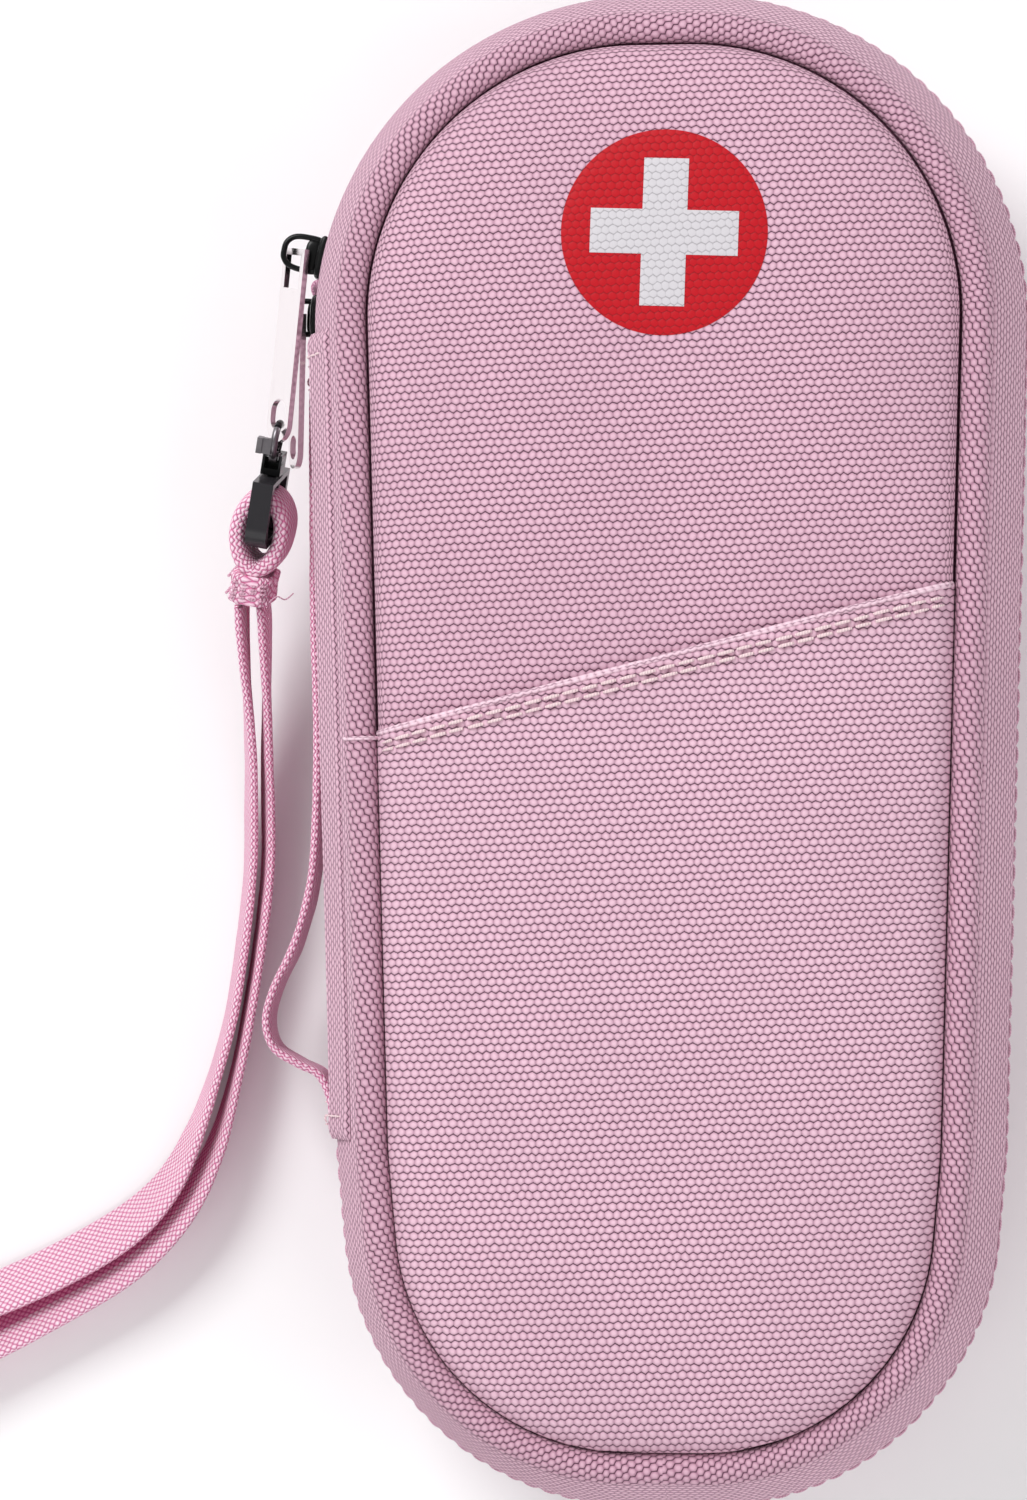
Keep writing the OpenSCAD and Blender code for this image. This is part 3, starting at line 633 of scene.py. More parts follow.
# painted light: a hot pink copy of the webbing for the inner faces of the strap loop, standing for light shining
# through and bouncing between its two layers
M_WEB_BOUNCE = woven("webbing_inner_painted_bounce", (246, 168, 206), (242, 120, 176), (226, 84, 150), 1.3, 0.55, 0.30, 0, True, rough=0.75,
                sheen=0.0, uneven=0.08, gapamt=0.8)
M_TAB = woven("tab_fabric", (240, 190, 214), (226, 148, 186), (190, 90, 136), 0.7, 0.5, 0.2, 0, True, rough=0.7,
              sheen=0.25)
M_ELASTIC = woven("elastic", (70, 68, 74), (44, 42, 47), (18, 17, 20), 0.55, 1.0, 0.22, 0, True, rough=0.8, sheen=0.2)
M_BACKING = woven("backing_strip", (62, 60, 66), (42, 40, 45), (18, 17, 20), 0.8, 0.7, 0.14, 0, rough=0.85)
M_RED = woven("print_red", (190, 10, 30), (176, 2, 22), (140, 0, 14), 1.2, 1.07, 0.07, TILT, rough=0.55, sheen=0.0,
              print_on=((184, 2, 22), 0.95))
M_PALE = woven("print_pale", (206, 201, 206), (200, 195, 200), (184, 176, 184), 1.2, 1.07, 0.06, TILT, rough=0.55,
               sheen=0.0, print_on=((204, 200, 205), 0.95))
M_BIND = woven("binding", (236, 176, 204), (222, 138, 178), (186, 92, 134), 0.8, 0.5, 0.12, 0, rough=0.6, sheen=0.3)
# painted highlight: a paler copy of the pink cloth for the rolled folds
M_HEM_HIGHLIGHT = woven("hem_fabric_painted_highlight", (244, 214, 227), (232, 194, 210), (190, 146, 168), 1.2, 1.07, 0.24, TILT)
# painted shade: near-black plum cloth for the strips in the creases beside the piping
M_CREASE = woven("crease_shade_cloth", (84, 44, 64), (66, 32, 50), (36, 16, 26), 0.9, 0.8, 0.15, 0, sheen=0.0)
M_THREAD = thread_mat("thread", (255, 226, 230))
M_THREADP = thread_mat("thread_pink", (226, 176, 198))
M_THREADD = thread_mat("thread_dark", (40, 38, 42))
M_TAPE = tape_mat("zip_tape", (34, 32, 36))
M_COIL = plastic_mat("zip_coil", (36, 34, 38), 0.35)
M_BLACK = metal_mat("black_metal", (7, 7, 8), 0.24, 0.5, 0.0, edge_tint=(46, 45, 48), spec=0.22)
M_NICKEL = metal_mat("nickel", (150, 138, 142), 0.20, 1.0, 1.0, edge_tint=(235, 228, 230))
M_SPRING = metal_mat("spring_steel", (170, 168, 170), 0.25, 1.0, 1.0)
M_GREY = metal_mat("grey_metal", (128, 124, 128), 0.35, 1.2, 0.85)
M_FOAM = foam_mat()


def net_mat():
    g = G("mesh_net")
    o = g.obj()
    n = g.noise(o, 2600, 2.0)
    col = g.ramp(n, [(0.3, (78, 76, 82)), (0.7, (118, 115, 122))])
    return g.end(col, 0.7, g.bump(n, 0.03 * MM), sheen=0.2)


M_NET = net_mat()


# ---- camera
cam = bpy.data.objects.new("camera", bpy.data.cameras.new("camera"))
bpy.context.scene.collection.objects.link(cam)
bpy.context.scene.camera = cam
AIM = Vector((-0.0238, 0.0, 0.028))
cam.location = Vector((0.047, -0.019, 0.835))
cam.rotation_mode = "QUATERNION"
_z = (cam.location - AIM).normalized()
_x = Vector((0, 1, 0)).cross(_z).normalized()
cam.rotation_quaternion = Matrix((_x, _z.cross(_x), _z)).transposed().to_quaternion()
cam.data.sensor_width = 36
cam.data.lens = 36 * (cam.location - AIM).length / 0.2253
cam.data.clip_start, cam.data.clip_end = 0.01, 10

# ---- wrist strap: the only free cord
CO = np.array([-59.39186194, 49.46725139, 26.88225996])       # the clasp's own axes
XC = np.array([-0.18430734, -0.94817905, -0.25881905])
YC = np.array([0.98162718, -0.190809, 0.0])
ZC = np.cross(XC, YC)
at_clasp = local(CO, XC, YC, ZC)

# x, y, z and lean in degrees, as in the CAD
ROUTE = [(-66.4, 23.4, 17.6, 0), (-66.6, 14, 14.2, 0), (-66.7, 5, 10.8, 0), (-67.1, -8, 7.2, 0), (-67.6, -20, 5.6, 0),
         (-69.8, -37, 5.15, -5), (-72.4, -49, 5.15, -12), (-76, -60, 5.15, -22), (-80.6, -68, 4.9, -31),
         (-88, -74.5, 4.55, -40), (-101, -81.5, 4.5, -40), (-115, -87, 4.65, -36), (-126.5, -90, 5.05, -24),
         (-133.5, -94, 5.2, -10), (-135, -99.5, 5.2, 0), (-130.5, -102.8, 5.2, 10), (-122, -99.6, 5.05, 24), (-111, -93, 4.65, 36), (-100, -87, 4.5, 40),
         (-86.2, -79, 4.6, 38), (-77.4, -70.6, 4.9, 30), (-72.2, -61, 5.15, 22), (-68.6, -50, 5.15, 12),
         (-65.8, -37.6, 5.15, 5), (-63.4, -20, 5.6, 0), (-63, -8, 7.2, 0), (-62.9, 5, 10.8, 0), (-62.9, 14, 14.2, 0),
         (-63.1, 23.4, 17.6, 0)]
strap_path = spline(ROUTE, 12)
lean, strap_path = strap_path[:, 3], strap_path[:, :3].copy()
turn_in = np.clip((20 - strap_path[:, 1]) / 22, 0, 1)      # from the bar tack down, the two layers lean together
side_sign = np.where(np.arange(len(strap_path)) < len(strap_path) * 0.51, 1.0, -1.0)
near_end = np.clip((strap_path[:, 0] + 128) / 14, 0, 1)
LEAST_LEAN = 14.0
lean = np.where(np.abs(lean) < LEAST_LEAN, side_sign * -LEAST_LEAN * near_end * turn_in + lean * (1 - near_end), lean)
strap_path[:, 0] += side_sign * 0.75 * turn_in * np.clip((strap_path[:, 1] + 60) / 20, 0, 1)
dxy = unit(np.gradient(strap_path[:, :2], axis=0))
lr = np.radians(np.convolve(np.pad(lean, 6, mode="edge"), np.ones(13) / 13, "valid"))
wide = np.column_stack([dxy[:, 1] * np.sin(lr), -dxy[:, 0] * np.sin(lr), np.cos(lr)])
strap = ribbon("wrist_strap_webbing", strap_path, wide, 10.0, 1.45, M_WEB)
# painted light: the second, hot pink material stands for light shining through and bouncing between the two layers
strap.data.materials.append(M_WEB_BOUNCE)                       # the deeper pink seen between the two layers
inside = unit(np.cross(np.gradient(strap_path, axis=0), wide))
inside *= np.sign(inside[len(inside) // 6, 0])
# faces on the inner side of the loop take the hot pink second material: painted light between the two layers
for face in strap.data.polygons:
    c = np.array(face.center) - strap_path * MM
    i = int(np.argmin((c ** 2).sum(axis=1)))
    if np.dot(np.array(face.normal), inside[i]) > 0.6 and np.dot(c[i], wide[i]) < 0.8 * MM:
        face.material_index = 1
place(strap, "strap", "webbing", "wrist_strap")

# ---- case shells


def skin(name, prof, body, node, lo, hi):
    place(sweep(name, rounded(prof, 0.35), M_SIDE, bend=puff(lo, hi)), body, "shell_fabric", node)


def unevenness(s, z):
    """How far the side wall is drawn in or out along the outline, in mm."""
    return smooth_noise(s * 0.045, z * 0.05, 5) * 0.16 + smooth_noise(s * 0.16, z * 0.1, 9) * 0.05


def puff(lo, hi):
    """Soft, slightly uneven wall: points are drawn in or out a little along the outline."""
    def bend(s, d, z):
        return d - unevenness(s, z) * np.sin(math.pi * np.clip((z - lo) / (hi - lo), 0, 1)), z
    return bend


def wall_prof(pts, t, k=7):
    """Closed wall profile from its outer side; the middle of each stretch swells by a hair."""
    q = []
    for a, b in zip(pts[:-1], pts[1:]):
        a, b = np.array(a, float), np.array(b, float)
        for i in range(k):
            w = i / k
            q.append(a * (1 - w) + b * w + np.array([-0.22 * math.sin(math.pi * w), 0]))
    q.append(np.array(pts[-1], float))
    inner = [v + np.array([t, 0]) for v in q[::-1]]
    return q + inner


base_wall = wall_prof([(LEAN + 0.1, LOW_END + 0.15), (LEAN - 0.95, LOW_END + 1.15), (0.05, WALL_LO - KNEE),
                       (0.05, WALL_LO)], FABRIC_T)
lid_wall = wall_prof([(0.05, WALL_HI), (0.05, WALL_HI + KNEE), (LEAN - 0.95, HIGH_END - 1.15),
                      (LEAN + 0.1, HIGH_END - 0.15)], FABRIC_T)
skin("base_gusset_cloth", base_wall, "base", "base_gusset", LOW_END, WALL_LO)
skin("lid_gusset_cloth", lid_wall, "lid", "lid_gusset", WALL_HI, HIGH_END)

S_SEAM = s_at(-1, 0.9)


def piping(name, z0, body, node, seam):
    s = np.linspace(0, LOOP, 520, endpoint=False)
    s = np.sort(np.concatenate([s, S_SEAM + np.array([-0.6, -0.25, -0.05, 0.0, 0.05, 0.4])])) if seam else s
    a = turn(28)
    prof = np.column_stack([PIPE_IN + PIPE_R * np.cos(a), z0 + PIPE_R * np.sin(a)])

    def bend(s, d, z):
        f = 1 + 0.02 * smooth_noise(s * 0.10, 0 * s, 11) + 0.010 * smooth_noise(s * 0.7, 0 * s, 12)
        if seam:
            f = f + np.where((s > S_SEAM) & (s < S_SEAM + 9), 0.07 * np.clip((S_SEAM + 9 - s) / 7, 0, 1), 0)
        return PIPE_IN + (d - PIPE_IN) * f, z0 + (z - z0) * f
    ob = sweep(name, prof, M_PIPE, s, bend=bend)
    place(ob, body, "piping_fabric", node)


piping("front_piping_cord", FRONT_PIPE_Z, "lid", "front_piping", True)
piping("back_piping_cord", BACK_PIPE_Z, "base", "back_piping", False)
# dark strips deep in the creases beside each piping, where the seam allowances turn under: painted shade, dark plum
# cloth that darkens the creases
for nm, inset_, z_, body in (("front_seam_allowance", PANEL_IN + 0.05, FRONT_PIPE_Z - 0.3, "lid"),
                             ("front_wall_seam", LEAN + 0.25, HIGH_END + 0.02, "lid"),
                             ("back_wall_seam", LEAN + 0.25, LOW_END - 0.02, "base"),
                             ("back_seam_allowance", PANEL_IN + 0.05, BACK_PIPE_Z - 0.2, "base")):
    place(sweep(nm, circle(inset_, z_, 0.42, 0.30, 8), M_CREASE), body, "piping_fabric")

# folded end of the piping's cover, where its two ends lap over each other, in the paler hem cloth: painted highlight on
# the fold
sp, sn = (v[0] for v in outline([S_SEAM - 0.1]))
fold_path = [[*(sp - (PIPE_IN - (PIPE_R + 0.22) * math.cos(t)) * sn), FRONT_PIPE_Z + (PIPE_R + 0.22) * math.sin(t)]
             for t in np.linspace(-0.35, math.pi * 1.05, 26)]
place(tube("piping_fold", fold_path, 0.30, M_HEM_HIGHLIGHT), "lid", "piping_fabric")


# ---- padded front, slip pocket and print
POCK_Y, POCK_A = -0.4, math.radians(14.4)
PD = np.array([math.cos(POCK_A), math.sin(POCK_A)])
PN = np.array([-PD[1], PD[0]])
PO = np.array([-CASE_W / 2, POCK_Y - 0.8])


def front_z(x, y, lift=0.0):
    """Height of the padded front at a point, with its soft unevenness."""
    d = inset(x, y)
    z = float(crown(d))
    k = min(1.0, max(0.0, (d - PANEL_IN) / 8))
    z += k * (0.16 * float(smooth_noise(x * 0.06, y * 0.05, 21)) + 0.05 * float(smooth_noise(x * 0.22, y * 0.2, 22)))
    return z + lift


def front_shape(P):
    P = P.copy()
    for i in range(P.shape[0]):
        for j in range(P.shape[1]):
            x, y, z = P[i, j]
            if z > FRONT_PIPE_Z + 0.9:
                P[i, j, 2] = front_z(x, y)
    return P


rims = [(PANEL_IN + d, FRONT_PIPE_Z + z) for d, z in ((1.2, -0.6), (0.55, -0.2), (0.34, 0.5), (0.3, 0.9))]
rims += [(PANEL_IN + d, float(crown(PANEL_IN + d)))
         for d in (0.32, 0.42, 0.6, 1.0, 1.6, 2.4, 3.4, 4.6, 6.2, 8, 10, 13, 16, 20, 24, 28)]
front = loft("front_panel_pad", rims, M_CLOTH, steps=10, zfun=front_shape)
thicken(front, 0.7, -1)
place(front, "lid", "shell_fabric", "front_panel")


# pocket: one sheet from just below its slanted edge to the bottom of the panel
def crossings(level, along):
    """Least and greatest value of along where level passes through 0 round a closed outline."""
    t = []
    for i in np.where(np.sign(level) != np.sign(np.roll(level, -1)))[0]:
        j = (i + 1) % len(level)
        w = level[i] / (level[i] - level[j])
        t.append(along[i] * (1 - w) + along[j] * w)
    return min(t), max(t)


rp, rn = outline(np.linspace(0, LOOP, 1600, endpoint=False))
rel = rp - (PANEL_IN - 0.02) * rn - PO
ecoord, tcoord = rel @ PN, rel @ PD


def chord(e):
    """Ends (along the pocket edge) of the line at distance e above the edge line, inside the panel."""
    return crossings(ecoord - e, tcoord)


def pocket_lift(x, y, e):
    """Height of the pocket's cloth over the panel, at e above the pocket's edge line."""
    # folded layers of the hem, drawn in by the stitches
    hem = 0.50 * math.exp(-((e + 1.9) / 2.6) ** 2) - 0.16 * math.exp(-((e + 2.4) / 0.9) ** 2)
    lift = 0.80 + hem + 0.12 * float(smooth_noise(x * 0.09, y * 0.07, 31))
    return lift * min(1.0, 0.25 + (inset(x, y) - PANEL_IN) / 3.0)


def pocket_point(e, t):
    x, y = PO + PN * e + PD * t
    return [x, y, front_z(x, y, pocket_lift(x, y, e))]


emin = float(ecoord.min()) + 0.25
es = np.concatenate([[0.0, -0.25, -0.6, -1.2, -2.0, -3.0, -4.2, -5.6], np.linspace(-7.5, emin + 3, 56),
                     [emin + 1.8, emin + 0.9, emin + 0.3, emin]])
across = 0.5 - 0.5 * np.cos(np.linspace(0, math.pi, 96))
P = np.array([[pocket_point(e, c[0] + 0.02 + (c[1] - c[0] - 0.04) * q) for q in across]
              for e, c in ((e, chord(e)) for e in es)])
UV = np.concatenate([[P[0, :, :2] + PN * k for k in (1.8, 1.4, 1.0, 0.6, 0.3)], P[..., :2]])
lip = [P[1] - [0, 0, 1.2]] + [P[0] + [*(PN * out), -down]
                              for out, down in ((0, 1.15), (0.36, 0.95), (0.48, 0.5), (0.30, 0.09))]
pocket = uv_grid("slip_pocket", np.concatenate([lip, P]), UV, M_POCKET)
place(pocket, "lid", "shell_fabric", "pocket_panel", "pocket_hem")

# folded edge, in the paler hem cloth: painted highlight along the fold
c0 = chord(0.0)
te = np.linspace(c0[0] + 0.5, c0[1] - 0.4, 90)
edge_pts = []
for t in te:
    x, y = PO + PN * 0.16 + PD * t
    edge_pts.append([x, y, front_z(x, y, 0.35 + 0.72 * max(0.0, min(1.0, (t - te[0]) / 3.0, (te[-1] - t) / 3.0)))])
place(tube("pocket_edge_fold", edge_pts, 0.46, M_HEM_HIGHLIGHT, k=12), "lid", "shell_fabric")

# two rows of lock stitch under the edge
rows = []
for e, seed in ((-1.45, 3), (-2.55, 4)):
    c = chord(e)
    pts = []
    for t in np.linspace(c[0] + 0.8, c[1] - 0.8, 240):
        x, y = PO + PN * (e + 0.10 * float(smooth_noise(t * 0.12, 0, seed))) + PD * t
        pts.append([x, y, front_z(x, y, pocket_lift(x, y, e))])
    rows.append(stitches("row", pts, [[0, 0, 1]] * 240, M_THREAD, pitch=2.9, gap=0.5, r=0.27, lift=0.20, seed=seed))
place(join("pocket_lock_stitches", rows), "lid", "thread", "pocket_stitching")


def patch(name, rim, mat, lift, n_ring, node, slot):
    """Printed film that follows the padded front: rings of points from its rim to its middle."""
    c = np.mean(rim, axis=0)
    m, thick = len(rim), 0.10
    W = [c + (q - c) * (1 - k / n_ring) for k in range(n_ring) for q in rim] + [c]
    V = [[*w, front_z(*w, lift - (thick if i < m else 0.0))] for i, w in enumerate(W)]
    F = [[k * m + j, k * m + (j + 1) % m, (k + 1) * m + (j + 1) % m, (k + 1) * m + j]
         for k in range(n_ring - 1) for j in range(m)]
    F += [[(n_ring - 1) * m + j, (n_ring - 1) * m + (j + 1) % m, len(V) - 1] for j in range(m)]
    place(make(name, V, F, [W[i] for f in F for i in f], mat), "lid", slot, node)


DC = np.array([0.65, 74.3])
patch("emblem_disc_print", np.array(circle(*DC, 15.0, 15.0, 120)), M_RED, 0.16, 14, "emblem_disc", "print_red")


def cross_poly(L, W, rot, k=7):
    a, b = L / 2, W / 2
    corner = [(a, -b), (a, b), (b, b), (b, a), (-b, a), (-b, b), (-a, b), (-a, -b), (-b, -b), (-b, -a), (b, -a), (b, -b)]
    q = np.array([[c[0] + (d[0] - c[0]) * j / k, c[1] + (d[1] - c[1]) * j / k]
                  for c, d in zip(corner, corner[1:] + corner[:1]) for j in range(k)])
    return DC + q @ np.array([[math.cos(rot), math.sin(rot)], [-math.sin(rot), math.cos(rot)]])


patch("emblem_cross_print", cross_poly(21.5, 6.5, math.radians(-2)), M_PALE, 0.30, 10, "emblem_cross", "print_pale")

# ---- back panel
brims = [(PANEL_IN + d, z) for d, z in ((1.2, 2.55), (0.1, 2.45), (0, 1.9), (0.35, 0.95), (1.3, 0.35), (3.5, 0.08),
                                        (7, 0.0), (12, 0.0), (20, 0.0))]


def back_shape(P):
    P = P.copy()
    x, y, z = P[..., 0], P[..., 1], P[..., 2]
    P[..., 2] = np.where(z < 0.5, z + 0.05 + 0.05 * smooth_noise(x * 0.12, y * 0.1, 41), z)
    return P


back = loft("back_panel_pad", brims, M_CLOTH, zfun=back_shape)
place(back, "base", "shell_fabric", "back_panel")

# ---- spine panel, one cloth from base to lid
S_UP, S_DOWN = s_at(-1, 62.0), s_at(-1, -58.0)


def wall_in(z):
    if z < WALL_LO - KNEE:
        return LEAN * (WALL_LO - KNEE - z) / (WALL_LO - KNEE - LOW_END)
    if z > WALL_HI + KNEE:
        return LEAN * (z - WALL_HI - KNEE) / (HIGH_END - WALL_HI - KNEE)
    return 0.0


zs = np.concatenate([[8.2], np.linspace(8.6, 44.3, 44), [44.6]])
ss = np.linspace(S_UP, S_DOWN, 150)
ss = np.concatenate([[ss[0] - 0.01], ss, [ss[-1] + 0.01]])
pp, pn = outline(ss)
outer, inner = np.zeros((len(ss), len(zs), 3)), np.zeros((len(ss), len(zs), 3))
for i, s in enumerate(ss):
    ends = min(1.0, min(s - ss[0], ss[-1] - s) / 1.2) ** 0.5
    fold_ends = 0.22 * math.exp(-((s - S_UP - 2.0) / 1.4) ** 2) + 0.22 * math.exp(-((S_DOWN - s - 2.0) / 1.4) ** 2)
    for j, z in enumerate(zs):
        fall = min(1.0, min(z - zs[0], zs[-1] - z) / 0.9) ** 0.5
        d = wall_in(z) - 0.42
        swell = 0.10 * float(smooth_noise(s * 0.07, z * 0.12, 51))
        outer[i, j] = *(pp[i] - (d - 0.22 - (0.42 + fold_ends + swell) * fall * ends) * pn[i]), z
        inner[i, j] = *(pp[i] - d * pn[i]), z
P = np.concatenate([outer, inner[:, ::-1]], 1)
spine = grid("spine_cloth", P, ss, np.concatenate([zs, zs[-1] + 0.7 + (zs[-1] - zs[::-1]), [zs[-1] * 2]]), False, True,
             M_SIDE, cap=True)
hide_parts("spine_leaf_base", "spine_leaf_lid")
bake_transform(spine)


for nm, s in (("spine_seam_top", S_UP + 3.4), ("spine_seam_bottom", S_DOWN - 3.4)):
    for body, z0, z1 in (("base", 9.5, 32.0), ("lid", 34.4, 44.0)):
        p, n = (v[0] for v in outline([s]))
        pts = [[*(p - (wall_in(z) - 1.05) * n), z] for z in np.linspace(z0, z1, 40)]
        place(stitches(nm + "_" + body, pts, [[*n, 0.0]] * 40, M_THREAD, pitch=2.6, gap=0.5, r=0.17), body, "thread")

# ---- handle
HX, TX, HZ = -54.9, TAPER * 0.75, 16.0
HPTS = [(HX, 61), (HX - .3, 50), (HX - .2, 36), (HX - .1, 20), (HX + .4, 4), (HX + .2, -10), (HX - .6, -20),
        (HX - 3, -29), (HX - 6.2, -36), (HX - 7.4, -41), (HX - 6.2, -45), (HX - 2.6, -47.4), (HX + .8, -49.2), (HX + TX - .7, -53),
        (HX + TX - .3, -57)]
hp = spline([(x, y, HZ) for x, y in HPTS], 14)
place(ribbon("handle_webbing", hp, (0, 0, 1), 10.0, 1.42, M_WEB, seed=8), "handle", "webbing", "handle")
box = []
corners = [(-4.2, -1.7), (4.2, -1.7), (4.2, 1.7), (-4.2, 1.7), (-4.2, -1.7)]
for x, y in ((HX - 0.75, 57), (HX + TX - 0.5 - 0.75, -55)):
    for a, b in zip(corners[:-1], corners[1:]):
        pts = [[x - 0.12, y + a[1] + (b[1] - a[1]) * k / 12, HZ + a[0] + (b[0] - a[0]) * k / 12] for k in range(13)]
        box.append(stitches("side", pts, [[-1, 0, 0]] * 13, M_THREAD, pitch=1.55, gap=0.3, r=0.15, lift=0.0,
                            seed=int(abs(y)) + len(box)))
place(join("handle_box_stitch", box), "handle", "thread", "handle_stitching")

# ---- zip
S0, S1 = S_DOWN - LOOP, S_UP            # the zip runs round the bottom, right side and top


def s_of_arc(deg):
    """Distance along the outline of a point of the top left corner."""
    c = np.array([-TOP_C[0], TOP_C[1]])
    q = c + TOP_R * np.array([math.cos(math.radians(deg)), math.sin(math.radians(deg))])
    s = np.linspace(LOOP / 2, LOOP, 6001)
    p, _ = outline(s)
    return s[np.argmin(np.sum((p - q) ** 2, 1))]


S_LID1 = s_of_arc(153.5)


def tape(name, z0, z1, s1, body, node):
    prof = rounded([(1.3, z0), (1.3, z1), (2.0, z1), (2.0, z0)], 0.2)
    place(sweep(name, prof, M_TAPE, np.linspace(S0 + 0.3, s1 - 0.3, 300), ring=False), body, "zip_tape", node)


tape("base_zip_tape_cloth", CHAIN_LO - 6, CHAIN_LO - 0.02, S1, "base", "base_zip_tape")
tape("lid_zip_tape_cloth", CHAIN_HI + 0.02, CHAIN_HI + 6, S_LID1, "lid", "lid_zip_tape")


def coil(name, z_root, z_tip, s0, s1, body, node, shift):
    """Nylon coil: one bent loop of wire for each tooth, and the core cord it is sewn on."""
    s = np.arange(s0 + 0.5 + shift, s1 - 0.5, 1.15)
    p, n = outline(s)
    up = 1.0 if z_tip > z_root else -1.0
    k, m, r, zc = 5, 10, 0.20, (z_root + z_tip) / 2
    loop = np.array([(1.15 + 1.12 * math.cos(a), zc + up * 0.56 * math.sin(a) * (1.0 if math.sin(a) > 0 else 0.9))
                     for a in turn(m)])          # (inset, height) round one turn
    rad = unit(loop - loop.mean(0))
    V, F = [], []
    for i in range(len(s)):
        along = np.array([-n[i, 1], n[i, 0]])
        for j, b in enumerate(turn(m)):
            flat = 1.35 if math.sin(b) > 0.6 else 1.0
            for a in turn(k):
                d, z = loop[j] + rad[j] * r * math.cos(a)
                V.append([*(p[i] - d * n[i] + along * (0.18 * math.cos(b) + r * flat * math.sin(a))), z])
        for j in range(m):
            a, b = (i * m + j) * k, (i * m + (j + 1) % m) * k
            F += [[a + l, a + (l + 1) % k, b + (l + 1) % k, b + l] for l in range(k)]
    teeth = make(name, V, F, None, M_COIL)
    teeth.data.uv_layers.new(name="UVMap")
    core = sweep("core", circle(1.15, zc, 0.62, 0.26, 8), M_COIL, np.linspace(s0 + 0.3, s1 - 0.3, 220), ring=False)
    place(join(name, [teeth, core]), body, "zip_coil", node)


coil("base_zip_coil", CHAIN_LO, CHAIN_LO + CHAIN_H, S0, S1, "base", "base_zip_teeth", 0.0)
coil("lid_zip_coil", CHAIN_HI, CHAIN_HI - CHAIN_H, S0, S_LID1, "lid", "lid_zip_teeth", 0.575)

# topstitch beside the zip, on both walls
for nm, z, s1, body, edge, lo, hi in (("base_zip_topstitch", WALL_LO - 1.9, S1, "base", WALL_LO, LOW_END, WALL_LO),
                                      ("lid_zip_topstitch", WALL_HI + 2.9, S_LID1, "lid", WALL_HI, WALL_HI, HIGH_END)):
    sv = np.linspace(S0 + 1, s1 - 1, 420)
    p, n = outline(sv)
    belly = 0.05 - 0.22 * math.sin(math.pi * min(1, abs(z - edge) / KNEE))
    pts = [[*(p[i] - (belly - unevenness(sv[i], z) * math.sin(math.pi * (z - lo) / (hi - lo))) * n[i]), z]
           for i in range(len(sv))]
    run = stitches(nm, pts, [[*q, 0] for q in n], M_THREADP, pitch=2.9, gap=0.45, r=0.17, lift=0.04, seed=17)
    place(run, body, "thread")


# ---- carried-over hardware: finish and softened edges
def dress(node, mat, width):
    ob = bpy.data.objects[node]
    ob.data.materials.clear()
    ob.data.materials.append(mat)
    if width:
        b = ob.modifiers.new("soft_edges", "BEVEL")
        b.width, b.segments, b.limit_method, b.angle_limit = width * MM, 3, "ANGLE", math.radians(35)
        b.harden_normals = True


def pillow(fr, c, h, mat, ex=3.2, taper=0.0, k=16, n=22):
    """Rounded block centred on c with half sizes h in the frame fr, narrower in its third size towards +y by taper."""
    P = np.zeros((n, k * 2, 3))
    for i in range(n):
        v = -math.cos(math.pi * i / (n - 1))
        f = max(0.0, 1 - abs(v) ** ex) ** (1 / ex)
        for j, a in enumerate(turn(k * 2)):
            x = math.copysign(abs(math.cos(a)) ** (2 / ex), math.cos(a)) * h[0] * f
            z = math.copysign(abs(math.sin(a)) ** (2 / ex), math.sin(a)) * h[2] * f * (1 - taper * (0.5 + 0.5 * v))
            P[i, j] = (c[0] + x, c[1] + v * h[1], c[2] + z)
    Pc = fr(P.reshape(-1, 3)).reshape(P.shape)
    return mend(grid("pillow", Pc, np.linspace(0, 2 * h[1], n), np.linspace(0, 10, k * 2 + 1), False, True, mat),
                merge=True)


def corner_axes(deg):
    """Local axes at an angle of the top left corner, on the zip: outwards, along the outline, up."""
    a = math.radians(deg)
    R, T = np.array([math.cos(a), math.sin(a), 0]), np.array([-math.sin(a), math.cos(a), 0])
    return local(np.array([-TOP_C[0], TOP_C[1], ZIP_Z]) + R * TOP_R, R, T, [0, 0, 1.0])


def slider_piece(name, deg, z0, z1, bz, stand):
    fr = corner_axes(deg)
    e = 2.0 + stand                         # where the bail's arms turn in
    zc, hz = (z0 + z1) / 2, (z1 - z0) / 2
    parts = [pillow(fr, (1.25, 0, zc), (0.74, 3.28, hz), M_BLACK, taper=0.22),
             pillow(fr, (-3.65, 0, 0), (0.54, 3.05, 2.38), M_BLACK, taper=0.22),
             pillow(fr, (-1.1, 1.6, 0), (2.4, 0.95, 0.29), M_BLACK, ex=4.0),
             pillow(fr, (1.9 + stand / 2, 0, bz), (0.3 + stand / 2, 2.3, 0.58), M_BLACK, ex=3.5)]
    path = [(1.7, -2.35, bz), (2.6, -2.5, bz), (e + 1.2, -2.42, bz), (e + 2.5, -2.0, bz), (e + 3.25, -1.1, bz),
            (e + 3.38, 0, bz), (e + 3.25, 1.1, bz), (e + 2.5, 2.0, bz), (e + 1.2, 2.42, bz), (2.6, 2.5, bz), (1.7, 2.35, bz)]
    parts.append(tube("bail", fr(spline(path, 6)), 0.44, M_BLACK, k=12))
    for zz in (-1, 1):                      # raised rails beside the chain
        parts.append(pillow(fr, (0.95, 0, zc + zz * (hz - 0.35)), (0.50, 3.1, 0.34), M_BLACK, ex=3.5))
    place(join(name + "_body", parts), name, "black_metal", name)


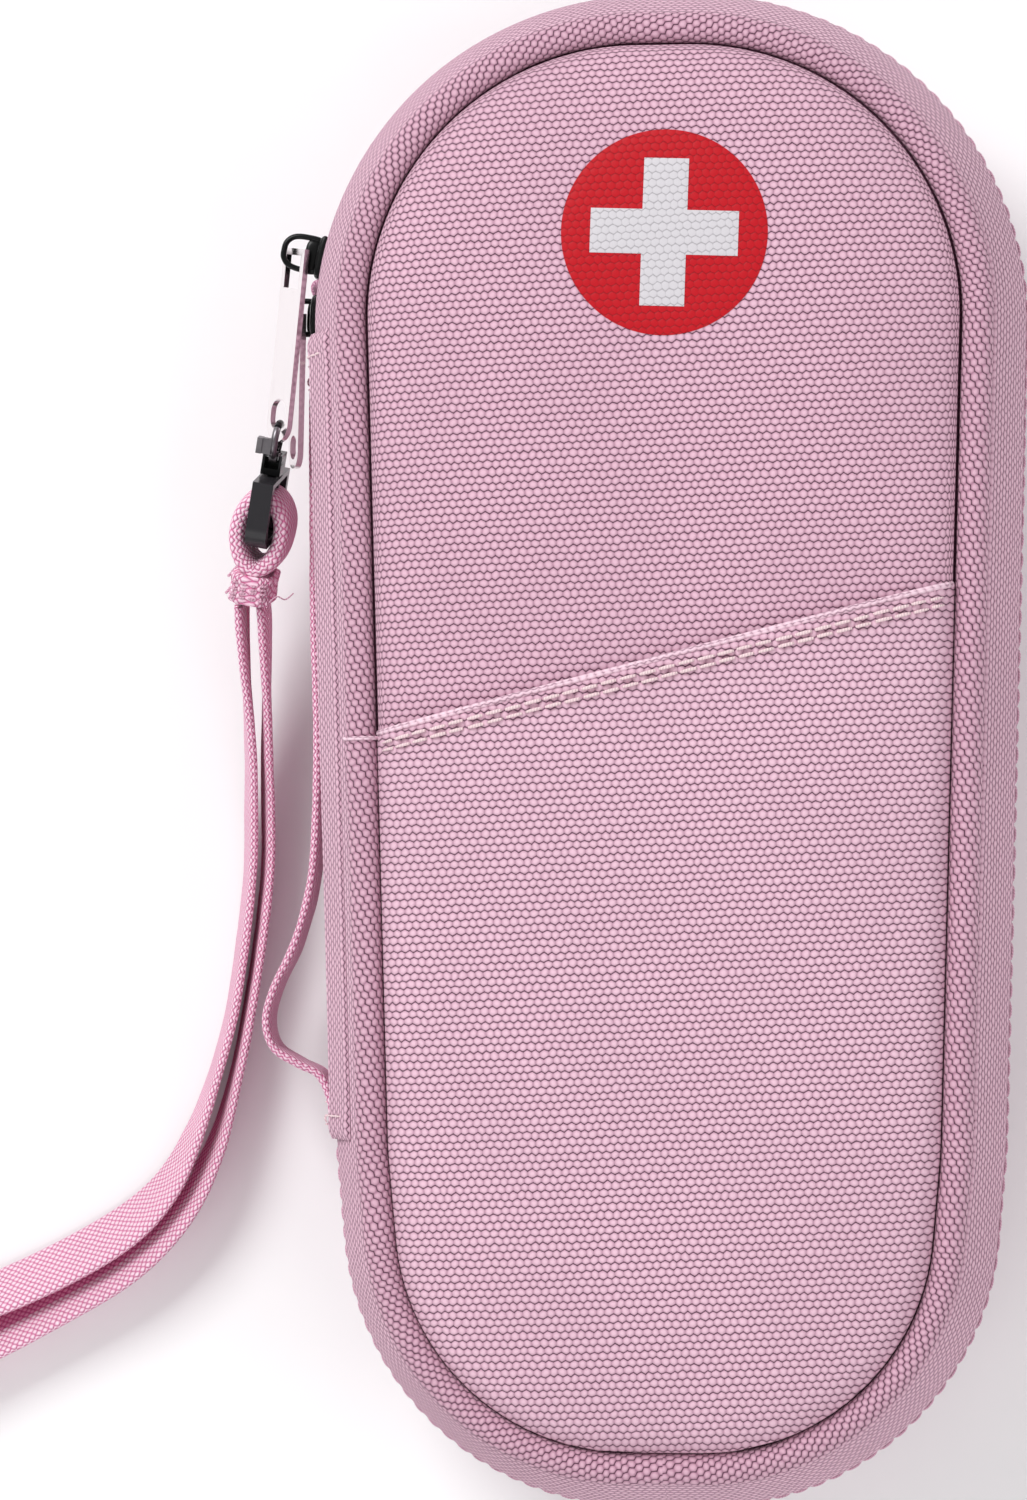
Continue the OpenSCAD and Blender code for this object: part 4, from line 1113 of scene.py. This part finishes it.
slider_piece("slider_a", 167, -3.5, 4, 1.6, 1.6)
slider_piece("slider_b", 177, -5, 1.5, -3.6, 0.6)
for row in (("pull_tab_a", M_NICKEL, 0.2), ("pull_tab_b", M_NICKEL, 0.2), ("clasp_hook", M_BLACK, 0.22),
            ("clasp_trigger", M_GREY, 0.12), ("clasp_pin", M_SPRING, 0.06), ("clasp_spring", M_SPRING, 0.0),
            ("clasp_ring", M_BLACK, 0.55), ("zip_stop", M_SPRING, 0.15)):
    dress(*row)

# ---- webbing round the ring, its bar tack
RING_X = 2 * 2.6 - 0.7 + 3.2 + 0.3          # middle of the swivel ring, in the clasp's axes
WA, WB = RING_X + 3.2, RING_X + 14.2        # the wrap's two ends
ta = turn(90)
oval = np.column_stack([(WA + WB) / 2 + (WB - WA) / 2 * np.cos(ta), 3.35 * np.sin(ta) * (1 - 0.06 * np.cos(ta)), 0 * ta])
wrap = ribbon("strap_wrap_webbing", at_clasp(oval), ZC, 10.0, 2.7, M_WEB, k=28, closed=True, seed=13, edge=3.4)
place(wrap, "strap", "webbing", "strap_wrap")


def form(name, frame_of, n_u, n_v, point, long, around, mat):
    """Closed piece of n_u rings of n_v points, point(u, angle), in a piece's own axes."""
    P = np.array([[point(i / (n_u - 1), a) for a in turn(n_v)] for i in range(n_u)])
    return grid(name, frame_of(P.reshape(-1, 3)).reshape(P.shape), np.linspace(0, long, n_u),
                np.linspace(0, around, n_v + 1), False, True, mat, cap=True)


# gathered webbing under the bar tack
TACK_X, TACK_L = WB + 0.85, 4.6


def tack_point(u, a):
    e = min(1.0, min(u, 1 - u) / 0.12) ** 0.5
    y, z = super_ring(a, 4.5, 3.4, 5.15)
    pinch = 1 - 0.10 * math.sin(math.pi * u)
    ridge = 1 + 0.05 * math.sin(a * 9 + 3 * u) + 0.03 * math.sin(a * 17 + 9 * u)
    return (TACK_X + TACK_L * u, y * pinch * ridge * (0.80 + 0.20 * e),
            z * (0.985 + 0.015 * math.sin(a * 5)) * (0.92 + 0.08 * e))


place(mend(form("strap_gather", at_clasp, 26, 72, tack_point, TACK_L, 27, M_WEB)), "strap", "webbing", "strap_bartack")
bars = []
for k, x in enumerate((1.0, 1.9, 2.8, 3.7)):
    pts = [at_clasp((TACK_X + x + 0.35 * math.sin(q * 3.1 + k), -3.3 + 6.6 * q,
                     5.15 * (0.965 - 0.10 * (2 * q - 1) ** 4)))[0] for q in np.linspace(0, 1, 18)]
    bars.append(stitches("bar", pts, [ZC] * 18, M_THREADP, pitch=1.5, gap=0.25, r=0.20, lift=0.04, seed=40 + k))
for k, x in enumerate((0.9, 3.6)):
    pts = [at_clasp((TACK_X + x, -3.6, -4.2 + 8.4 * q))[0] for q in np.linspace(0, 1, 18)]
    bars.append(stitches("bar", pts, [-YC] * 18, M_THREADP, pitch=1.5, gap=0.25, r=0.18, lift=0.0, seed=50 + k))
place(join("bar_tack_thread", bars), "strap", "thread")
loose = spline(at_clasp([(TACK_X + x, y, z) for x, y, z in ((3.4, 3.3, 4.8), (2.2, 4.4, 5.2), (2.6, 5.6, 4.4),
                                                            (1.6, 6.6, 3.6))]), 8)
place(tube("loose_thread", loose, 0.11, M_THREADP, k=6), "strap", "thread")

# ---- soft tab over the end of the zip
def end_point(u, a):
    e = 0.65 + 0.35 * (1 - (2 * u - 1) ** 6) ** 0.5
    r = 1 + 0.05 * math.sin(3 * a + 4 * u)
    return 1.85 + 1.5 * r * math.cos(a) * e, 1.55 * r * math.sin(a) * e, -14.0 + 7.0 * u


end_tab = mend(form("zip_end_cloth", corner_axes(171.5), 22, 40, end_point, 7, 10, M_TAB))
place(end_tab, "base", "tab_fabric", "zip_end_tab")

# ---- inside: foam, lining, loops and net pocket
IN_D = FOAM_D + 2.0 + 0.1
F_FLOOR, F_CEIL = 2.7, FRONT_PIPE_Z + 0.5
L_FLOOR, L_CEIL = F_FLOOR + 2.1, F_CEIL - 2.1


def shell_of(name, rings, mat, body, slot, thick):
    """Foam or lining of a half, standing for the node of the same name without its last word."""
    ob = loft(name, rings, mat)
    thicken(ob, thick, 0)
    place(ob, body, slot, name.rsplit("_", 1)[0])


def curve_rings(a, b, c, k=8):
    """Rings from the rim a down the wall to the corner b and in to c, with a round corner."""
    out = [a]
    a, b, c = np.array(a), np.array(b), np.array(c)
    p0, p1 = b + (a - b) / np.linalg.norm(a - b) * 2.6, b + (c - b) / np.linalg.norm(c - b) * 2.6
    for i in range(5):
        out.append(tuple(a + (p0 - a) * (i + 1) / 6))
    for i in range(k + 1):
        w = i / k
        out.append(tuple((1 - w) ** 2 * p0 + 2 * w * (1 - w) * b + w * w * p1))
    out.append(tuple(c))
    return out


base_lin = curve_rings((IN_D + 0.3, RIM_LO), (PANEL_IN + 0.5, L_FLOOR + 0.3), (PANEL_IN + 6, L_FLOOR + 0.15))
lid_lin = curve_rings((IN_D + 0.3, RIM_HI), (PANEL_IN + 0.5, L_CEIL - 0.3), (PANEL_IN + 6, L_CEIL - 0.15))
shell_of("base_lining_cloth", base_lin, M_LINING, "base", "lining", 0.5)
shell_of("lid_lining_cloth", lid_lin, M_LINING, "lid", "lining", 0.5)
foam_b = curve_rings((FOAM_D + 1.0, RIM_LO - 0.1), (PANEL_IN + 0.2, F_FLOOR + 1.2), (PANEL_IN + 6, F_FLOOR + 1.0))
foam_l = curve_rings((FOAM_D + 1.0, RIM_HI + 0.1), (PANEL_IN + 0.2, F_CEIL - 1.2), (PANEL_IN + 6, F_CEIL - 1.0))
shell_of("base_foam_board", foam_b, M_FOAM, "base", "foam", 1.7)
shell_of("lid_foam_board", foam_l, M_FOAM, "lid", "foam", 1.7)


# bound edge of the lining, where it is sewn to the tape
for nm, z, body in (("base_rim_binding", RIM_LO - 0.1, "base"), ("lid_rim_binding", RIM_HI + 0.1, "lid")):
    place(sweep(nm, circle(IN_D - 0.4, z, 0.75, 0.62, 12), M_BIND), body, "tab_fabric")

# backing strip and elastic loops
LOOP_PITCH, LOOP_R, STRIP_Z = 18.75, 8.0, L_FLOOR + 0.6 + 0.05
w = LOOP_PITCH * 4 + 1
xs = np.concatenate([[-w / 2], np.linspace(-w / 2 + 0.3, w / 2 - 0.3, 90), [w / 2]])
ys = np.concatenate([[10.0], np.linspace(10.3, 35.7, 30), [36.0]])
top = np.array([[[x, y, STRIP_Z + (0.78 if 0.2 < w / 2 - abs(x) and 0.2 < min(y - 10, 36 - y) else 0.35)
                  + 0.03 * math.sin(x * 1.3) * math.sin(y * 0.7)] for y in ys] for x in xs])
strip = grid("loop_backing_strip", top, xs, ys, False, False, M_BACKING)
thicken(strip, 0.35, -1)
place(strip, "base", "elastic", "loop_backing")
bands, sewn = [], []
for i in range(4):
    x0, r = (i - 1.5) * LOOP_PITCH, LOOP_R - 0.45
    arc = [(x0 + r * math.cos(t), 23.0, STRIP_Z + 0.85 + r * math.sin(t) * 0.99 + 0.4 * (1 - math.sin(t)))
           for t in np.linspace(0, math.pi, 44)]
    arc = [(arc[0][0], 23.0, STRIP_Z + 1.0)] + arc[1:-1] + [(arc[-1][0], 23.0, STRIP_Z + 1.0)]
    bands.append(ribbon("band", arc, (0, 1, 0), 24.6, 0.85, M_ELASTIC, k=28, lump=0.03, seed=70 + i, edge=7.0))
for i in range(5):
    x = max(-w / 2 + 1.0, min(w / 2 - 1.0, (i - 2) * LOOP_PITCH))
    pts = [[x, 11 + 24 * q, STRIP_Z + 0.82] for q in np.linspace(0, 1, 30)]
    sewn.append(stitches("row", pts, [[0, 0, 1]] * 30, M_THREADP, pitch=2.2, gap=0.5, r=0.17, lift=0.02, seed=80 + i))
place(join("elastic_loop_bands", bands), "base", "elastic", "elastic_loops")
place(join("elastic_stitches", sewn), "base", "thread")

# net pocket in the lid: knotted diamond net under its bound edge
MESH_Z, MESH_IN = L_CEIL - 0.6 - 0.9, PANEL_IN + 0.6 + 1.2
mp, mn = outline(np.linspace(0, LOOP, 400, endpoint=False))
poly = mp - MESH_IN * mn
NET_LOW, NET_HIGH, NET_N = poly[:, 1].min() + 0.4, 32.5, 50
rows = np.linspace(NET_LOW, NET_HIGH, 88)
V = []
for i, y in enumerate(rows):
    a, b = crossings(poly[:, 1] - y, poly[:, 0])
    for j in range(NET_N + 1):
        q = (j + (0.5 if i % 2 and 0 < j < NET_N else 0.0)) / NET_N
        sag = 0.22 * math.sin(math.pi * q) * math.sin(math.pi * (y - NET_LOW) / (NET_HIGH - NET_LOW))
        V.append([a + (b - a) * q, y, MESH_Z + 0.30 - sag])
F = [[i * (NET_N + 1) + j, i * (NET_N + 1) + j + 1, (i + 1) * (NET_N + 1) + j + 1, (i + 1) * (NET_N + 1) + j]
     for i in range(len(rows) - 1) for j in range(NET_N)]
net = make("mesh_pocket_net", V, F, None, M_NET)
wf = net.modifiers.new("threads", "WIREFRAME")
wf.thickness, wf.use_replace, wf.use_even_offset = 0.34 * MM, True, False
place(net, "lid", "mesh", "mesh_pocket")
BAND_Y = 31.5
a, b = crossings(poly[:, 1] - BAND_Y, poly[:, 0])
xs, ys = np.linspace(a + 0.2, b - 0.2, 90), np.linspace(BAND_Y - 2.5, BAND_Y + 2.5, 14)
band = np.array([[[x, y, MESH_Z - 0.42 - 0.30 * math.sqrt(max(0.0, 1 - ((y - BAND_Y) / 2.5) ** 2))
                   + 0.03 * math.sin(x * 0.9)] for y in ys] for x in xs])
binding = grid("mesh_pocket_binding", band, xs, ys, False, False, M_BIND, flip=True)
thicken(binding, 0.4, -1)
place(binding, "lid", "tab_fabric", "mesh_binding")

# ---- floor, light
fl = bpy.data.meshes.new("floor")
q = 3.0
fl.from_pydata([(-q, -q, -0.0002), (q, -q, -0.0002), (q, q, -0.0002), (-q, q, -0.0002)], [], [(0, 1, 2, 3)])
floor = bpy.data.objects.new("floor", fl)
bpy.context.scene.collection.objects.link(floor)
g = G("floor_paper")
n = g.noise(g.obj(), 40, 3.0)
floor.data.materials.append(g.end(g.mixc(n, lin((246, 245, 246)), lin((250, 250, 250))), 0.9, spec=0.1))

wd = bpy.data.worlds.new("studio")
bpy.context.scene.world = wd
wd.use_nodes = True
wd.node_tree.nodes["Background"].inputs[0].default_value = (1, 1, 1, 1)
wd.node_tree.nodes["Background"].inputs[1].default_value = 0.50


def lamp(name, loc, size, watts):
    ld = bpy.data.lights.new(name, "AREA")
    ld.shape, ld.size, ld.size_y, ld.energy = "RECTANGLE", size, size, watts
    lo = bpy.data.objects.new(name, ld)
    bpy.context.scene.collection.objects.link(lo)
    lo.location = loc
    lo.rotation_mode = "QUATERNION"
    lo.rotation_quaternion = (Vector(loc) - Vector((0, 0, 0.02))).to_track_quat("Z", "Y")


lamp("key", (-0.55, 0.75, 0.95), 0.6, 11.5)
lamp("fill", (0.8, -0.3, 0.8), 0.9, 4.0)
lamp("low", (-0.5, -0.9, 0.6), 0.8, 3.0)
bpy.context.scene.view_settings.view_transform = "Standard"
bpy.context.scene.view_settings.look = "None"
